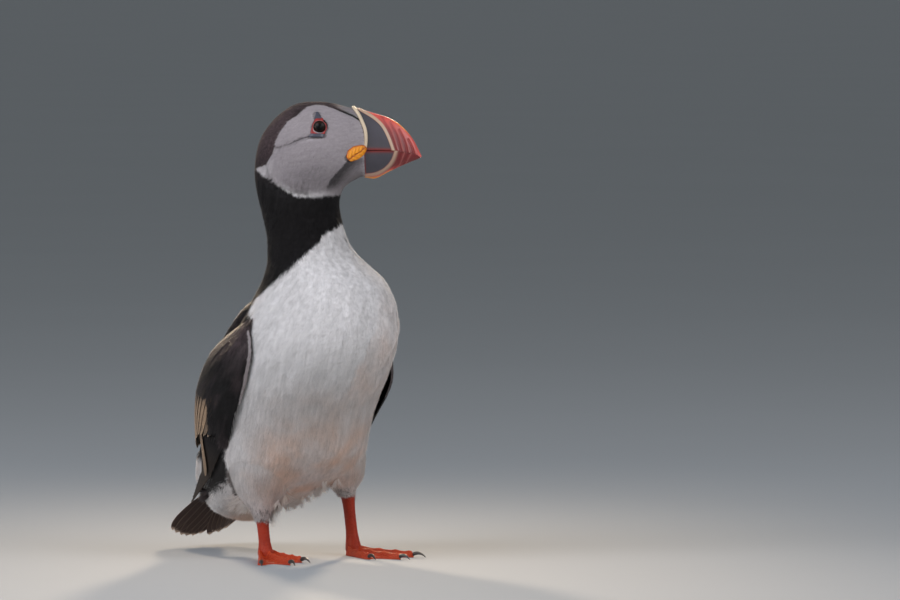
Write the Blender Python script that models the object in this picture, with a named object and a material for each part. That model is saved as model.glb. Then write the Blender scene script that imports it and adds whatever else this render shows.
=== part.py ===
"""Atlantic puffin at life size, standing on both feet with its neck up and its head turned to its left.

All sizes are in millimetres until a mesh is written. A point of the bird is (left, forward, up): left of its
midline, forward of the place between its feet, and up from the floor. It faces -Y, so left is +X.
"""

import math

import bmesh
import bpy
import numpy as np
from mathutils import Vector

MM = 0.001
GAP = 0.3  # between pieces that meet
CENTRE = (4.07, -27.12)  # left and forward of the middle of the whole bird, which becomes the origin
NECK_AXIS = -5.0  # forward place of the upright line that the neck and head turn about

# Stations of the body from the tail root to the bill base. Each is the dorsal point and the ventral point
# (forward of the neck axis, up), the half width, the turn to the left in degrees, and where the widest level
# lies from the dorsal point (0) to the ventral point (1).
STATIONS = {
    "tail_root": (-80.0, 35.0, -69.0, 19.5, 12.0, 0, 0.50),
    "vent": (-74.0, 42.0, -42.0, 19.5, 23.0, 0, 0.50),
    "rump": (-66.0, 52.0, -2.0, 36.0, 34.0, 0, 0.50),
    "belly": (-59.5, 70.0, 26.0, 56.0, 42.0, 0, 0.50),
    "waist": (-52.0, 91.0, 38.5, 82.0, 45.0, 0, 0.50),
    "chest": (-41.0, 113.0, 56.0, 106.0, 44.5, 2, 0.50),
    "breast": (-27.0, 134.0, 62.0, 126.0, 40.5, 8, 0.50),
    "shoulder": (-17.5, 154.0, 51.5, 148.5, 33.0, 20, 0.50),
    "neck_base": (-17.7, 171.0, 29.5, 167.0, 25.0, 33, 0.50),
    "neck": (-22.2, 190.0, 21.8, 188.0, 21.0, 50, 0.50),
    "nape": (-25.2, 209.5, 22.6, 198.5, 22.0, 57, 0.52),
    "hind_crown": (-20.8, 230.0, 26.3, 203.0, 21.0, 57, 0.56),
    "crown": (-5.5, 245.2, 30.0, 205.1, 19.0, 57, 0.58),
    "forehead": (12.0, 247.6, 32.4, 206.3, 15.5, 57, 0.58),
    "bill_base": (30.5, 243.6, 34.6, 206.6, 9.0, 57, 0.56),
}
NAMES = list(STATIONS)
TABLE = np.array([STATIONS[name] for name in NAMES], float)
HEAD_TURN = math.radians(STATIONS["bill_base"][5])


def station(name):
    return float(NAMES.index(name))


def smooth(table, t):
    """Catmull-Rom curve through the table's rows at t, which counts rows, carried on straight past both ends."""
    t = np.asarray(t, float)
    table = np.asarray(table, float)
    last = len(table) - 1
    padded = np.vstack([2 * table[0] - table[1], table, 2 * table[-1] - table[-2]])
    i = np.clip(np.floor(t).astype(int), 0, last - 1)
    x = np.clip(t, 0, last) - i
    p0, p1, p2, p3 = (padded[i + k] for k in range(4))
    x = x[..., None]
    value = 0.5 * (2 * p1 + (p2 - p0) * x + (2 * p0 - 5 * p1 + 4 * p2 - p3) * x**2
                   + (3 * p1 - p0 - 3 * p2 + p3) * x**3)
    beyond = (t - np.clip(t, 0, last))[..., None]
    slope = np.where(beyond < 0, table[1] - table[0], table[-1] - table[-2])
    return value + beyond * slope


def turned(forward, left, up, turn):
    """Points given forward and left of the neck axis in a frame turned to the left, as (left, forward, up)."""
    return np.stack([
        forward * np.sin(turn) + left * np.cos(turn),
        NECK_AXIS + forward * np.cos(turn) - left * np.sin(turn),
        np.broadcast_to(up, np.shape(forward)),
    ], axis=-1)


def body_point(t, angle, grow=0.0):
    """The body's surface at station t. The angle runs from the dorsal line (0) down the right side to the
    ventral line (pi) and back up the left side. grow moves the surface outwards."""
    t, angle = np.broadcast_arrays(np.asarray(t, float), np.asarray(angle, float))
    row = smooth(TABLE, t)
    dorsal, ventral = row[..., 0:2], row[..., 2:4]
    across = ventral - dorsal
    across /= np.linalg.norm(across, axis=-1, keepdims=True)
    grow = np.asarray(grow, float)[..., None]
    dorsal, ventral = dorsal - grow * across, ventral + grow * across
    share = (1 - np.cos(angle)) / 2
    share = share + 4 * (row[..., 6] - 0.5) * share * (1 - share)
    middle = dorsal + (ventral - dorsal) * share[..., None]
    left = -(row[..., 4] + grow[..., 0]) * np.sin(angle)
    return turned(middle[..., 0], left, middle[..., 1], np.radians(row[..., 5]))


# ---- meshes -------------------------------------------------------------------------------------------------


def world(points):
    points = np.asarray(points, float)
    return np.stack([points[..., 0] - CENTRE[0], CENTRE[1] - points[..., 1], points[..., 2]], -1) * MM


def finish(name, mesh_or_bmesh, material):
    """Links a mesh as the object of that name, with faces out and smooth shading."""
    mesh = bpy.data.meshes.new(name)
    bmesh.ops.recalc_face_normals(mesh_or_bmesh, faces=mesh_or_bmesh.faces)
    mesh_or_bmesh.to_mesh(mesh)
    mesh_or_bmesh.free()
    obj = bpy.data.objects.new(name, mesh)
    bpy.context.scene.collection.objects.link(obj)
    mesh.materials.append(material)
    mesh.shade_smooth()
    mesh.set_sharp_from_angle(angle=math.radians(40))
    return obj


def tube(name, rings, material):
    """A closed solid through rings of points, with a flat cap on each end. rings has shape (rings, points, 3)."""
    made = bmesh.new()
    loops = [[made.verts.new(Vector(p)) for p in world(ring)] for ring in rings]
    for low, high in zip(loops, loops[1:]):
        for i in range(len(low)):
            j = (i + 1) % len(low)
            made.faces.new((low[i], low[j], high[j], high[i]))
    made.faces.new(loops[0][::-1])
    made.faces.new(loops[-1])
    return finish(name, made, material)


def shell(name, outer, inner, material):
    """A closed solid between two grids of points of one shape, joined round their rims."""
    made = bmesh.new()
    rows, columns = outer.shape[:2]
    sheets = [[[made.verts.new(Vector(p)) for p in row] for row in world(sheet)] for sheet in (outer, inner)]
    for sheet, flip in zip(sheets, (1, -1)):
        for i in range(rows - 1):
            for j in range(columns - 1):
                corners = (sheet[i][j], sheet[i][j + 1], sheet[i + 1][j + 1], sheet[i + 1][j])
                made.faces.new(corners[::flip])
    rim = ([(0, j) for j in range(columns)] + [(i, columns - 1) for i in range(1, rows)]
           + [(rows - 1, j) for j in range(columns - 2, -1, -1)] + [(i, 0) for i in range(rows - 2, 0, -1)])
    for (i, j), (k, m) in zip(rim, rim[1:] + rim[:1]):
        made.faces.new((sheets[0][i][j], sheets[1][i][j], sheets[1][k][m], sheets[0][k][m]))
    return finish(name, made, material)


def cut(obj, cutter):
    """Takes the cutter out of the object and keeps the cutter out of the build."""
    cutter.hide_render = True
    cutter.display_type = "WIRE"
    modifier = obj.modifiers.new("cut_" + cutter.name, "BOOLEAN")
    modifier.operation = "DIFFERENCE"
    modifier.solver = "EXACT"
    modifier.object = cutter


def paint(name, colour, roughness):
    material = bpy.data.materials.new(name)
    material.use_nodes = True
    shader = material.node_tree.nodes["Principled BSDF"]
    shader.inputs["Base Color"].default_value = (*colour, 1)
    shader.inputs["Roughness"].default_value = roughness
    shader.inputs["Metallic"].default_value = 0
    return material


# ---- body ---------------------------------------------------------------------------------------------------

AROUND = 26
ROWS_PER_STATION = 3


def body_rings(start, end, grow=0.0):
    """Rings of the body between two stations, evenly spaced."""
    count = max(2, round((end - start) * ROWS_PER_STATION) + 1)
    angle = np.linspace(0, 2 * math.pi, AROUND, endpoint=False)
    return body_point(np.linspace(start, end, count)[:, None], angle[None, :], grow)


def parted(name):
    """Station values a little below and above a parting plane, which leave a gap of about GAP between them."""
    at = station(name)
    step = 0.02
    spacing = np.linalg.norm(body_point(at + step, math.pi / 2) - body_point(at - step, math.pi / 2)) / (2 * step)
    return at - GAP / spacing, at + GAP / spacing


def build_body(paints):
    below_neck, above_neck = parted("neck_base")
    below_head, above_head = parted("neck")
    tube("trunk", body_rings(0, below_neck), paints["white_plumage"])
    tube("neck", body_rings(above_neck, below_head), paints["black_plumage"])
    return tube("head", body_rings(above_head, station("bill_base")), paints["grey_plumage"])


# ---- wings --------------------------------------------------------------------------------------------------

# Edges of the folded wing on the body's surface: station, angle of the trailing edge and of the leading edge
# in degrees from the dorsal line, and thickness.
WING_ROWS = np.array([
    (-0.35, 40, 54, 0.9),
    (0.0, 38, 62, 1.8),
    (1.0, 38, 76, 3.0),
    (2.0, 34, 91, 4.2),
    (2.5, 22, 98, 5.0),
    (3.0, 17, 104, 6.2),
    (4.0, 21, 109, 8.0),
    (5.0, 31, 102, 8.2),
    (5.5, 39, 91, 6.6),
    (5.9, 50, 75, 3.4),
], float)
WING_HELD_OUT = {"r": 0.0, "l": 4.2}  # how far the leading edge stands off the flank at its fullest
HELD_OUT_STATION = (4.3, 0.65)  # where that is, and over how many stations it fades
WING_OFF_BODY = 0.7  # the faceted body stands up to 0.2 mm inside its own curve
WING_SPLIT = 2.5  # station where the secondaries' tips end and the primaries come out
WING_ACROSS = 12


def wing_sheets(suffix, start, end, count):
    """Outer and inner grids of one wing between two stations."""
    side = 1 if suffix == "r" else -1
    at = np.linspace(start, end, count)
    trailing, leading, thick = (np.interp(at, WING_ROWS[:, 0], WING_ROWS[:, k]) for k in (1, 2, 3))
    share = np.linspace(0, 1, WING_ACROSS)
    angle = np.radians(trailing[:, None] + (leading - trailing)[:, None] * share)
    bulge = 0.6 + (thick[:, None] - 0.6) * (1 - np.abs(2 * share - 1) ** 3) ** 0.7
    held_out = WING_HELD_OUT[suffix] * np.exp(-(((at - HELD_OUT_STATION[0]) / HELD_OUT_STATION[1]) ** 2))
    off = WING_OFF_BODY + held_out[:, None] * share**2
    outer = body_point(at[:, None], side * angle, off + bulge)
    inner = body_point(at[:, None], side * angle, off)
    return outer, inner


def build_wings(paints):
    for suffix in ("r", "l"):
        wing = wing_sheets(suffix, WING_SPLIT + 0.01, WING_ROWS[-1, 0], 13)
        shell("wing_" + suffix, *wing, paints["black_plumage"])
        primaries = wing_sheets(suffix, WING_ROWS[0, 0], WING_SPLIT - 0.01, 9)
        shell("primaries_" + suffix, *primaries, paints["black_plumage"])


# ---- bill ---------------------------------------------------------------------------------------------------

# Stations of the bill from base to tip: the ridge, the gape and the lower edge (forward of the neck axis, up),
# and the half width at the gape.
BILL = np.array([
    (33.2, 243.3, 36.0, 221.6, 35.2, 206.0, 7.6),
    (37.0, 242.0, 50.0, 221.2, 40.5, 206.1, 6.0),
    (46.5, 239.0, 54.3, 220.7, 48.0, 209.8, 4.8),
    (53.5, 235.0, 57.8, 220.0, 54.5, 212.8, 3.8),
    (60.2, 227.8, 61.5, 219.3, 60.5, 215.4, 2.5),
    (65.2, 218.2, 65.0, 217.3, 64.6, 216.8, 0.9),
], float)
BILL_RIM = 2.4  # length of the pale rim between the feathers and the upper bill
RIM_PROUD = 0.7


def half_section(far, near, half_width, turn, points=8):
    """Ring of one half of the bill: up one side from the gape to the far edge, and down the other side."""
    share = np.linspace(-1, 1, 2 * points - 1)
    level = far + (near - far) * np.abs(share)[:, None] ** 1.25
    left = half_width * np.sign(share) * np.sin(np.pi / 2 * np.abs(share)) ** 0.85
    return turned(level[:, 0], left, level[:, 1], turn)


def build_bill(paints):
    at = np.linspace(0, len(BILL) - 1, 13)
    rows = smooth(BILL, at)
    upper = [half_section(row[0:2], row[2:4] + (0, GAP / 2), row[6], HEAD_TURN) for row in rows]
    tube("bill_upper", upper, paints["bill_red"])
    rows[0, 2:6] = (33.5, 221.2, 35.2, 206.3)  # the lower bill starts at the feathers, with no rim
    lower = [half_section(row[4:6], row[2:4] - (0, GAP / 2), 0.95 * row[6], HEAD_TURN) for row in rows]
    lower[-1] = lower[-1] - (0.6 * math.sin(HEAD_TURN), 0.6 * math.cos(HEAD_TURN), 0.5)
    tube("bill_lower", lower, paints["bill_red"])
    base = np.array(STATIONS["bill_base"][:2])
    face = np.array(STATIONS["bill_base"][2:4]) - base
    along = np.array([face[1], -face[0]]) * -1 / np.linalg.norm(face)
    gape = base + face * 0.6
    rings = []
    for forward, proud in ((GAP, 0.2), (0.3 * BILL_RIM, RIM_PROUD), (0.7 * BILL_RIM, RIM_PROUD), (BILL_RIM, 0.1)):
        top, low = base + along * forward + (0, proud - 0.2), gape + along * forward
        rings.append(half_section(top, low, 7.7 + proud, HEAD_TURN))
    tube("bill_rim", rings, paints["bill_pale"])


# ---- eyes and the gape rosettes -----------------------------------------------------------------------------

EYE_RADIUS = 4.4
EYE_PLACE = (10.8, 234.4)  # forward of the neck axis, up
EYE_LEFT = 12.5  # of the head's midline, where the ball's centre lies

# Plates and folds on the side of the face, in the head's own plane: centre (forward, up), half length, half
# height, slope in degrees, height off the feathers, and how much narrower the upper edge is than the lower.
PATCHES = {
    "eye_plate_upper": ((9.0, 240.9), 3.7, 2.1, 4, 1.0, 0.75),
    "eye_plate_lower": ((8.9, 228.9), 4.0, 1.0, 3, 0.9, 0.0),
    "rosette": ((28.0, 219.6), 5.4, 3.0, 44, 1.7, 0.35),
}
PATCH_SIDE = 5
PATCH_RIM = 0.6  # thickness at the rim


def ball(name, place, left, radius, material, segments=16):
    """A sphere set in the head, placed in the head's own plane and left of its midline."""
    polar = np.linspace(0.12, math.pi - 0.12, segments // 2)[:, None]
    around = np.linspace(0, 2 * math.pi, segments, endpoint=False)
    out = radius * np.cos(polar) * np.ones_like(around)
    forward = place[0] + radius * np.sin(polar) * np.cos(around)
    up = place[1] + radius * np.sin(polar) * np.sin(around)
    return tube(name, turned(forward, left + out, up, HEAD_TURN), material)


def face_place(forward, up):
    """Station and angle from the dorsal line of the place on the head's side at (forward, up) in its own plane."""
    t = np.full(np.shape(forward), station("forehead"))
    share = np.full(np.shape(forward), 0.5)
    step = 0.01
    for _ in range(20):
        row, ahead = smooth(TABLE, t), smooth(TABLE, t + step)
        across = row[..., 2:4] - row[..., 0:2]
        place = row[..., 0:2] + across * share[..., None]
        along = (ahead[..., 0:2] + (ahead[..., 2:4] - ahead[..., 0:2]) * share[..., None] - place) / step
        miss = np.stack([forward, up], -1) - place
        area = along[..., 0] * across[..., 1] - along[..., 1] * across[..., 0]
        t = t + (miss[..., 0] * across[..., 1] - miss[..., 1] * across[..., 0]) / area
        share = share + (along[..., 0] * miss[..., 1] - along[..., 1] * miss[..., 0]) / area
    bend = 4 * (smooth(TABLE, t)[..., 6] - 0.5)
    root = np.sqrt((1 + bend) ** 2 - 4 * bend * share)
    return t, np.arccos(1 - 4 * share / (1 + bend + root))


def build_patch(name, side, material):
    """A low rounded plate that follows the side of the face."""
    (forward, up), half_length, half_height, slope, proud, taper = PATCHES[name]
    p, q = np.meshgrid(np.linspace(-1, 1, PATCH_SIDE), np.linspace(-1, 1, PATCH_SIDE))
    x, y = p * np.sqrt(1 - q**2 / 2), q * np.sqrt(1 - p**2 / 2)
    dome = np.sqrt(np.clip(1 - x**2 - y**2, 0, 1))
    x = x * half_length * (1 - taper * (y + 1) / 2)
    y = y * half_height
    turn = math.radians(slope)
    t, angle = face_place(forward + x * math.cos(turn) - y * math.sin(turn),
                          up + x * math.sin(turn) + y * math.cos(turn))
    outer = body_point(t, -side * angle, GAP + PATCH_RIM + (proud - PATCH_RIM) * dome)
    shell(f"{name}_{'l' if side > 0 else 'r'}", outer, body_point(t, -side * angle, GAP), material)


def build_face(paints, head):
    for suffix, side in (("r", -1), ("l", 1)):
        ball("eye_" + suffix, EYE_PLACE, side * EYE_LEFT, EYE_RADIUS, paints["eye"])
        socket = ball("socket_" + suffix, EYE_PLACE, side * EYE_LEFT, EYE_RADIUS + GAP, paints["eye"])
        cut(head, socket)
        build_patch("eye_plate_upper", side, paints["slate"])
        build_patch("eye_plate_lower", side, paints["slate"])
        build_patch("rosette", side, paints["rosette"])


# ---- tail ---------------------------------------------------------------------------------------------------

TAIL_ROOT = (-85.5, 27.5)  # forward, up
TAIL_TIP = (-109.0, 11.0)
TAIL_HALF_WIDTHS = (11.0, 21.0)
TAIL_THICK = (3.2, 1.0)
TAIL_ROLL = math.radians(8)
TAIL_FEATHERS = 12


def build_tail(paints):
    """A fan from root to tip whose free edge is scalloped by the feather ends."""
    share = np.linspace(-1, 1, 2 * TAIL_FEATHERS + 1)
    along = np.linspace(0, 1, 5)[:, None]
    scallop = 0.1 * np.abs(np.sin(math.pi * TAIL_FEATHERS / 2 * (share + 1)))
    reach = 0.87 + scallop - 0.06 * share**2 - 0.12 * share**8
    way = along * np.where(along > 0.5, 1 + (reach - 1) * (2 * along - 1), 1)
    left = share * (TAIL_HALF_WIDTHS[0] + (TAIL_HALF_WIDTHS[1] - TAIL_HALF_WIDTHS[0]) * way)
    forward = TAIL_ROOT[0] + (TAIL_TIP[0] - TAIL_ROOT[0]) * way / 0.9
    up = TAIL_ROOT[1] + (TAIL_TIP[1] - TAIL_ROOT[1]) * way / 0.9
    up = up - 0.006 * left**2 + left * math.tan(TAIL_ROLL) * way
    half = (TAIL_THICK[0] + (TAIL_THICK[1] - TAIL_THICK[0]) * way) / 2
    over = np.stack([left, forward, up + half], -1)
    under = np.stack([left, forward, up - half], -1)
    shell("tail", over, under, paints["black_plumage"])


# ---- legs and feet ------------------------------------------------------------------------------------------

# For each leg: where the thigh's feathers end (left, forward, up), the place of the ankle over the floor
# (left, forward), and the foot's heading to the left in degrees.
LEGS = {
    "r": ((-19.4, -14.0, 22.5), (-17.6, -12.5), -14),
    "l": ((33.9, -12.0, 33.5), (36.9, -10.0), 14),
}
HIP = (24.0, -13.0, 62.0)
THIGH_RADII = (17.0, 17.0, 14.0, 9.0)
ANKLE_TOP = 5.2
TARSUS_RADII = (2.9, 3.7)  # sideways and fore and aft
TOES = {"inner": (-27, 27.0), "middle": (-3, 37.0), "outer": (21, 35.0)}  # degrees outwards, length
HEEL = 5.0
FOOT_HALF_WIDTH = 4.4
WEB_THICK = 1.1
TOE_RIDGE = (3.3, 2.0)  # height over the web at the root, and half width
CLAW_LENGTH = 7.0


def build_thigh(name, side, bottom, material, trunk_cutter):
    """Rings that taper from the hip inside the trunk to the end of the leg feathers."""
    levels = np.linspace(0, 1, 9)
    hip = np.array((side * HIP[0], HIP[1], HIP[2]))
    centres = hip + (np.array(bottom) - hip) * levels[:, None]
    radii = smooth(np.array(THIGH_RADII)[:, None], levels * (len(THIGH_RADII) - 1))[:, 0]
    around = np.linspace(0, 2 * math.pi, 20, endpoint=False)
    rings = np.stack([
        centres[:, 0:1] + 0.82 * radii[:, None] * np.cos(around),
        centres[:, 1:2] + radii[:, None] * np.sin(around),
        centres[:, 2:3] + 0 * around,
    ], -1)
    cut(tube(name, rings, material), trunk_cutter)


def build_tarsus(name, top, ankle, material):
    levels = np.linspace(0, 1, 8)
    start, end = np.array(top) - (0, 0, GAP), np.array((*ankle, ANKLE_TOP + GAP))
    centres = start + (end - start) * levels[:, None]
    flare = 1 + 0.35 * np.exp(-(levels / 0.18) ** 2) + 0.45 * np.exp(-((1 - levels) / 0.2) ** 2)
    around = np.linspace(0, 2 * math.pi, 12, endpoint=False)
    rings = np.stack([
        centres[:, 0:1] + (TARSUS_RADII[0] * flare)[:, None] * np.cos(around),
        centres[:, 1:2] + (TARSUS_RADII[1] * flare)[:, None] * np.sin(around),
        centres[:, 2:3] + 0 * around,
    ], -1)
    tube(name, rings, material)


def foot_plan(side, ankle, heading):
    """Returns a function that lays (share across, share along) of one foot out on the floor."""
    turn = math.radians(heading)
    lengths = np.array([length for _, length in TOES.values()])
    bearings = np.radians([bearing for bearing, _ in TOES.values()])
    shares = np.array((-0.88, 0.0, 0.88))

    def plan(across, along):
        bearing = np.interp(across, shares, bearings) + (across - np.clip(across, -0.88, 0.88)) * 0.5
        reach = np.interp(across, shares, lengths)
        reach = reach * (1 - 0.24 * np.abs(np.sin(math.pi * np.clip(across, -0.88, 0.88) / 0.88)))
        reach = reach - 14 * np.clip(np.abs(across) - 0.88, 0, 1)
        forward = -HEEL + 1.2 * across**2 + along * (HEEL + reach * np.cos(bearing))
        out = FOOT_HALF_WIDTH * across * (1 - along) + along * (reach * np.sin(bearing) + 0.6 * across)
        left = side * out
        return np.stack([
            ankle[0] + left * math.cos(turn) + forward * math.sin(turn),
            ankle[1] - left * math.sin(turn) + forward * math.cos(turn),
        ], -1)

    return plan, shares


def build_foot(suffix, side, ankle, heading, paints):
    """Three toes and their webs as one solid with a flat sole, and a claw at the end of each toe."""
    plan, shares = foot_plan(side, ankle, heading)
    across = np.linspace(-1, 1, 23)[None, :]
    along = np.linspace(0, 1, 9)[:, None]
    across, along = np.broadcast_arrays(across, along)
    floor = plan(across, along)
    spread = FOOT_HALF_WIDTH + 13.0 * along
    ridge = sum(np.exp(-(((across - share) * spread) / TOE_RIDGE[1]) ** 2) for share in shares)
    height = WEB_THICK + TOE_RIDGE[0] * np.clip(ridge, 0, 1) * (1 - 0.4 * along)
    heel = np.exp(-((along - 0.1) / 0.14) ** 2)
    height = height + (ANKLE_TOP - height) * heel * (1 - 0.35 * across**4)
    height = np.minimum(height, ANKLE_TOP)
    top = np.concatenate([floor, height[..., None]], -1)
    sole = np.concatenate([floor, np.zeros_like(height)[..., None]], -1)
    shell("foot_" + suffix, top, sole, paints["leg_orange"])
    for toe, share in zip(TOES, shares):
        end, before = plan(np.array(share), np.array(1.0)), plan(np.array(share), np.array(0.9))
        ahead = (end - before) / np.linalg.norm(end - before)
        sideways = np.array((-ahead[1], ahead[0]))
        rings = []
        for step in np.linspace(0, 1, 5):
            centre = end + ahead * (2 * GAP + CLAW_LENGTH * step)
            radius = 1.3 * (1 - 0.86 * step)
            level = 1.9 + 0.9 * math.sin(math.pi * step) - 1.5 * step**2
            ring = [(*(centre + sideways * radius * math.cos(a)), level + radius * math.sin(a))
                    for a in np.linspace(0, 2 * math.pi, 6, endpoint=False)]
            rings.append(ring)
        tube(f"claw_{toe}_{suffix}", np.array(rings), paints["claw"])


def build_legs(paints):
    cutter = tube("trunk_cutter", body_rings(0, station("breast"), GAP), paints["eye"])
    for suffix, (bottom, ankle, heading) in LEGS.items():
        side = -1 if suffix == "r" else 1
        build_thigh("thigh_" + suffix, side, bottom, paints["white_plumage"], cutter)
        build_tarsus("tarsus_" + suffix, bottom, ankle, paints["leg_orange"])
        build_foot(suffix, side, ankle, heading, paints)


def main():
    for obj in list(bpy.data.objects):
        bpy.data.objects.remove(obj, do_unlink=True)
    paints = {
        "white_plumage": paint("white_plumage", (0.80, 0.78, 0.76), 0.9),
        "grey_plumage": paint("grey_plumage", (0.52, 0.51, 0.52), 0.9),
        "black_plumage": paint("black_plumage", (0.025, 0.021, 0.022), 0.75),
        "bill_red": paint("bill_red", (0.62, 0.06, 0.03), 0.35),
        "bill_pale": paint("bill_pale", (0.72, 0.62, 0.42), 0.5),
        "slate": paint("slate", (0.10, 0.11, 0.14), 0.6),
        "rosette": paint("rosette", (0.80, 0.36, 0.02), 0.5),
        "eye": paint("eye", (0.02, 0.015, 0.015), 0.1),
        "leg_orange": paint("leg_orange", (0.80, 0.16, 0.03), 0.45),
        "claw": paint("claw", (0.03, 0.028, 0.028), 0.35),
    }
    head = build_body(paints)
    build_wings(paints)
    build_bill(paints)
    build_face(paints, head)
    build_tail(paints)
    build_legs(paints)


main()
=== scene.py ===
# An adult puffin in summer plumage, dressed over its CAD solids: one skin, a coat of feather tufts laid along
# the body, flight feathers, and separate bill, eyes, legs and claws. Lengths are in millimetres until a mesh
# is written. A point of the bird is (left of its midline, forward, up from the floor); it faces -Y.
import math

import bpy
import numpy as np
from mathutils import Matrix


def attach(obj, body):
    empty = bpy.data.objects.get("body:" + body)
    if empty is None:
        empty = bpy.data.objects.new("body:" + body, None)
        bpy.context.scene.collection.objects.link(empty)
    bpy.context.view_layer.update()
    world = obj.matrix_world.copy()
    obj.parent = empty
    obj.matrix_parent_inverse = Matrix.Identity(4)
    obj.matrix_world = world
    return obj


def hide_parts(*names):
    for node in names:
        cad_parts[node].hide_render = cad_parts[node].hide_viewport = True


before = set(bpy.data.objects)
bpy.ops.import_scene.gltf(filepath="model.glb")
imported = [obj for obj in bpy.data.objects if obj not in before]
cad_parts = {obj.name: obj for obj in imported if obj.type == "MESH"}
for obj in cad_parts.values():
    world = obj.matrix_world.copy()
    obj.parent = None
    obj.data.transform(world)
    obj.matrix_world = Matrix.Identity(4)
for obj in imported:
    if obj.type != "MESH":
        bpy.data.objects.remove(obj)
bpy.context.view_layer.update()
rng = np.random.default_rng(11)
print("loaded", len(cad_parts), "CAD nodes")

# the body's shape

bodyShape = {
    "centre": (4.07, -27.12),  # left and forward of the object's origin
    "neckAxis": -5.0,  # forward place of the upright line that the neck and head turn about
    "headTurn": 57.0,  # degrees to the left
    # dorsal point and ventral point (forward of the neck axis, up), half width, turn, level of the widest place
    "stations": [
        (-80.0, 35.0, -69.0, 19.5, 12.0, 0, 0.50),  # tail root
        (-74.0, 42.0, -42.0, 19.5, 23.0, 0, 0.50),  # vent
        (-66.0, 52.0, -2.0, 36.0, 34.0, 0, 0.50),  # rump
        (-59.5, 70.0, 26.0, 56.0, 42.0, 0, 0.50),  # belly
        (-52.0, 91.0, 38.5, 82.0, 45.0, 0, 0.50),  # waist
        (-41.0, 113.0, 56.0, 106.0, 44.5, 2, 0.50),  # chest
        (-27.0, 134.0, 62.0, 126.0, 40.5, 8, 0.50),  # breast
        (-17.5, 154.0, 51.5, 148.5, 33.0, 20, 0.50),  # shoulder
        (-17.7, 171.0, 29.5, 167.0, 25.0, 33, 0.50),  # neck base
        (-22.2, 190.0, 21.8, 188.0, 21.0, 50, 0.50),  # neck
        (-25.2, 209.5, 22.6, 198.5, 22.0, 57, 0.52),  # nape
        (-20.8, 230.0, 26.3, 203.0, 21.0, 57, 0.56),  # hind crown
        (-5.5, 245.2, 30.0, 205.1, 19.0, 57, 0.58),  # crown
        (12.0, 247.6, 32.4, 206.3, 15.5, 57, 0.58),  # forehead
        (30.5, 243.6, 34.6, 206.6, 9.0, 57, 0.56),  # bill base
    ],
}
stationTable = np.array(bodyShape["stations"], float)
headTurn = math.radians(bodyShape["headTurn"])


def smooth(table, t):
    # Catmull-Rom curve through the table's rows at t, which counts rows, carried on straight past both ends
    t = np.asarray(t, float)
    table = np.asarray(table, float)
    last = len(table) - 1
    padded = np.vstack([2 * table[0] - table[1], table, 2 * table[-1] - table[-2]])
    i = np.clip(np.floor(t).astype(int), 0, last - 1)
    x = (np.clip(t, 0, last) - i)[..., None]
    p0, p1, p2, p3 = (padded[i + k] for k in range(4))
    value = 0.5 * (2 * p1 + (p2 - p0) * x + (2 * p0 - 5 * p1 + 4 * p2 - p3) * x**2
                   + (3 * p1 - p0 - 3 * p2 + p3) * x**3)
    beyond = (t - np.clip(t, 0, last))[..., None]
    slope = np.where(beyond < 0, table[1] - table[0], table[-1] - table[-2])
    return value + beyond * slope


def turned(forward, left, up, turn):
    # from a frame that is turned to the left about the neck axis, to the bird's own frame
    return np.stack([
        forward * np.sin(turn) + left * np.cos(turn),
        bodyShape["neckAxis"] + forward * np.cos(turn) - left * np.sin(turn),
        np.broadcast_to(up, np.shape(forward)),
    ], axis=-1)


def headPlace(points):
    # the other way for the head: forward of the neck axis, left of the head's midline, up
    forward = points[..., 1] - bodyShape["neckAxis"]
    return (points[..., 0] * math.sin(headTurn) + forward * math.cos(headTurn),
            points[..., 0] * math.cos(headTurn) - forward * math.sin(headTurn), points[..., 2])


def bodyPoint(t, angle, grow=0.0):
    # a ring at station t: its level runs from the dorsal to the ventral point as (1 - cos angle) / 2, and its
    # width goes as sin angle, to the bird's right for angles from 0 to pi; grow moves it outwards
    t, angle, grow = np.broadcast_arrays(np.asarray(t, float), angle, grow)
    row = smooth(stationTable, t)
    dorsal, ventral = row[..., 0:2], row[..., 2:4]
    across = ventral - dorsal
    across = across / np.linalg.norm(across, axis=-1, keepdims=True)
    dorsal, ventral = dorsal - grow[..., None] * across, ventral + grow[..., None] * across
    share = (1 - np.cos(angle)) / 2
    share = share + 4 * (row[..., 6] - 0.5) * share * (1 - share)
    middle = dorsal + (ventral - dorsal) * share[..., None]
    left = -(row[..., 4] + grow) * np.sin(angle)
    return turned(middle[..., 0], left, middle[..., 1], np.radians(row[..., 5]))


def step(low, high, x):
    # 0 below low, 1 above high, and a smooth S between them
    x = np.clip((np.asarray(x, float) - low) / (high - low), 0, 1)
    return x * x * (3 - 2 * x)


def bell(x, width):
    # 1 at 0, falling off to both sides as e to the power of minus the square of x / width
    return np.exp(-((x / width) ** 2))


def roundTo(count):
    # angles evenly round a circle
    return np.linspace(0, 2 * math.pi, count, endpoint=False)


def alongTable(table, x):
    # straight-line reading of a list of (x, value)
    return np.interp(x, *np.array(table).T)


def ripple(a, b, seed):
    # smooth noise from about -1 to 1: a sum of sine waves in random directions over the plane of a and b
    chance, waves = np.random.default_rng(seed), 7
    total = np.zeros(np.broadcast(a, b).shape)
    for _ in range(waves):
        heading, pitch, phase = chance.uniform(0, math.pi), chance.uniform(0.6, 1.7), chance.uniform(0, 6.3)
        total += np.sin(pitch * (a * math.cos(heading) + b * math.sin(heading)) * 2 * math.pi + phase)
    return total / math.sqrt(waves) / 1.5


# meshes


def toWorld(points):
    # from the bird's millimetres to the object's metres
    left, forward = bodyShape["centre"]
    return np.stack([points[..., 0] - left, forward - points[..., 1], points[..., 2]], -1) * 0.001


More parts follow.
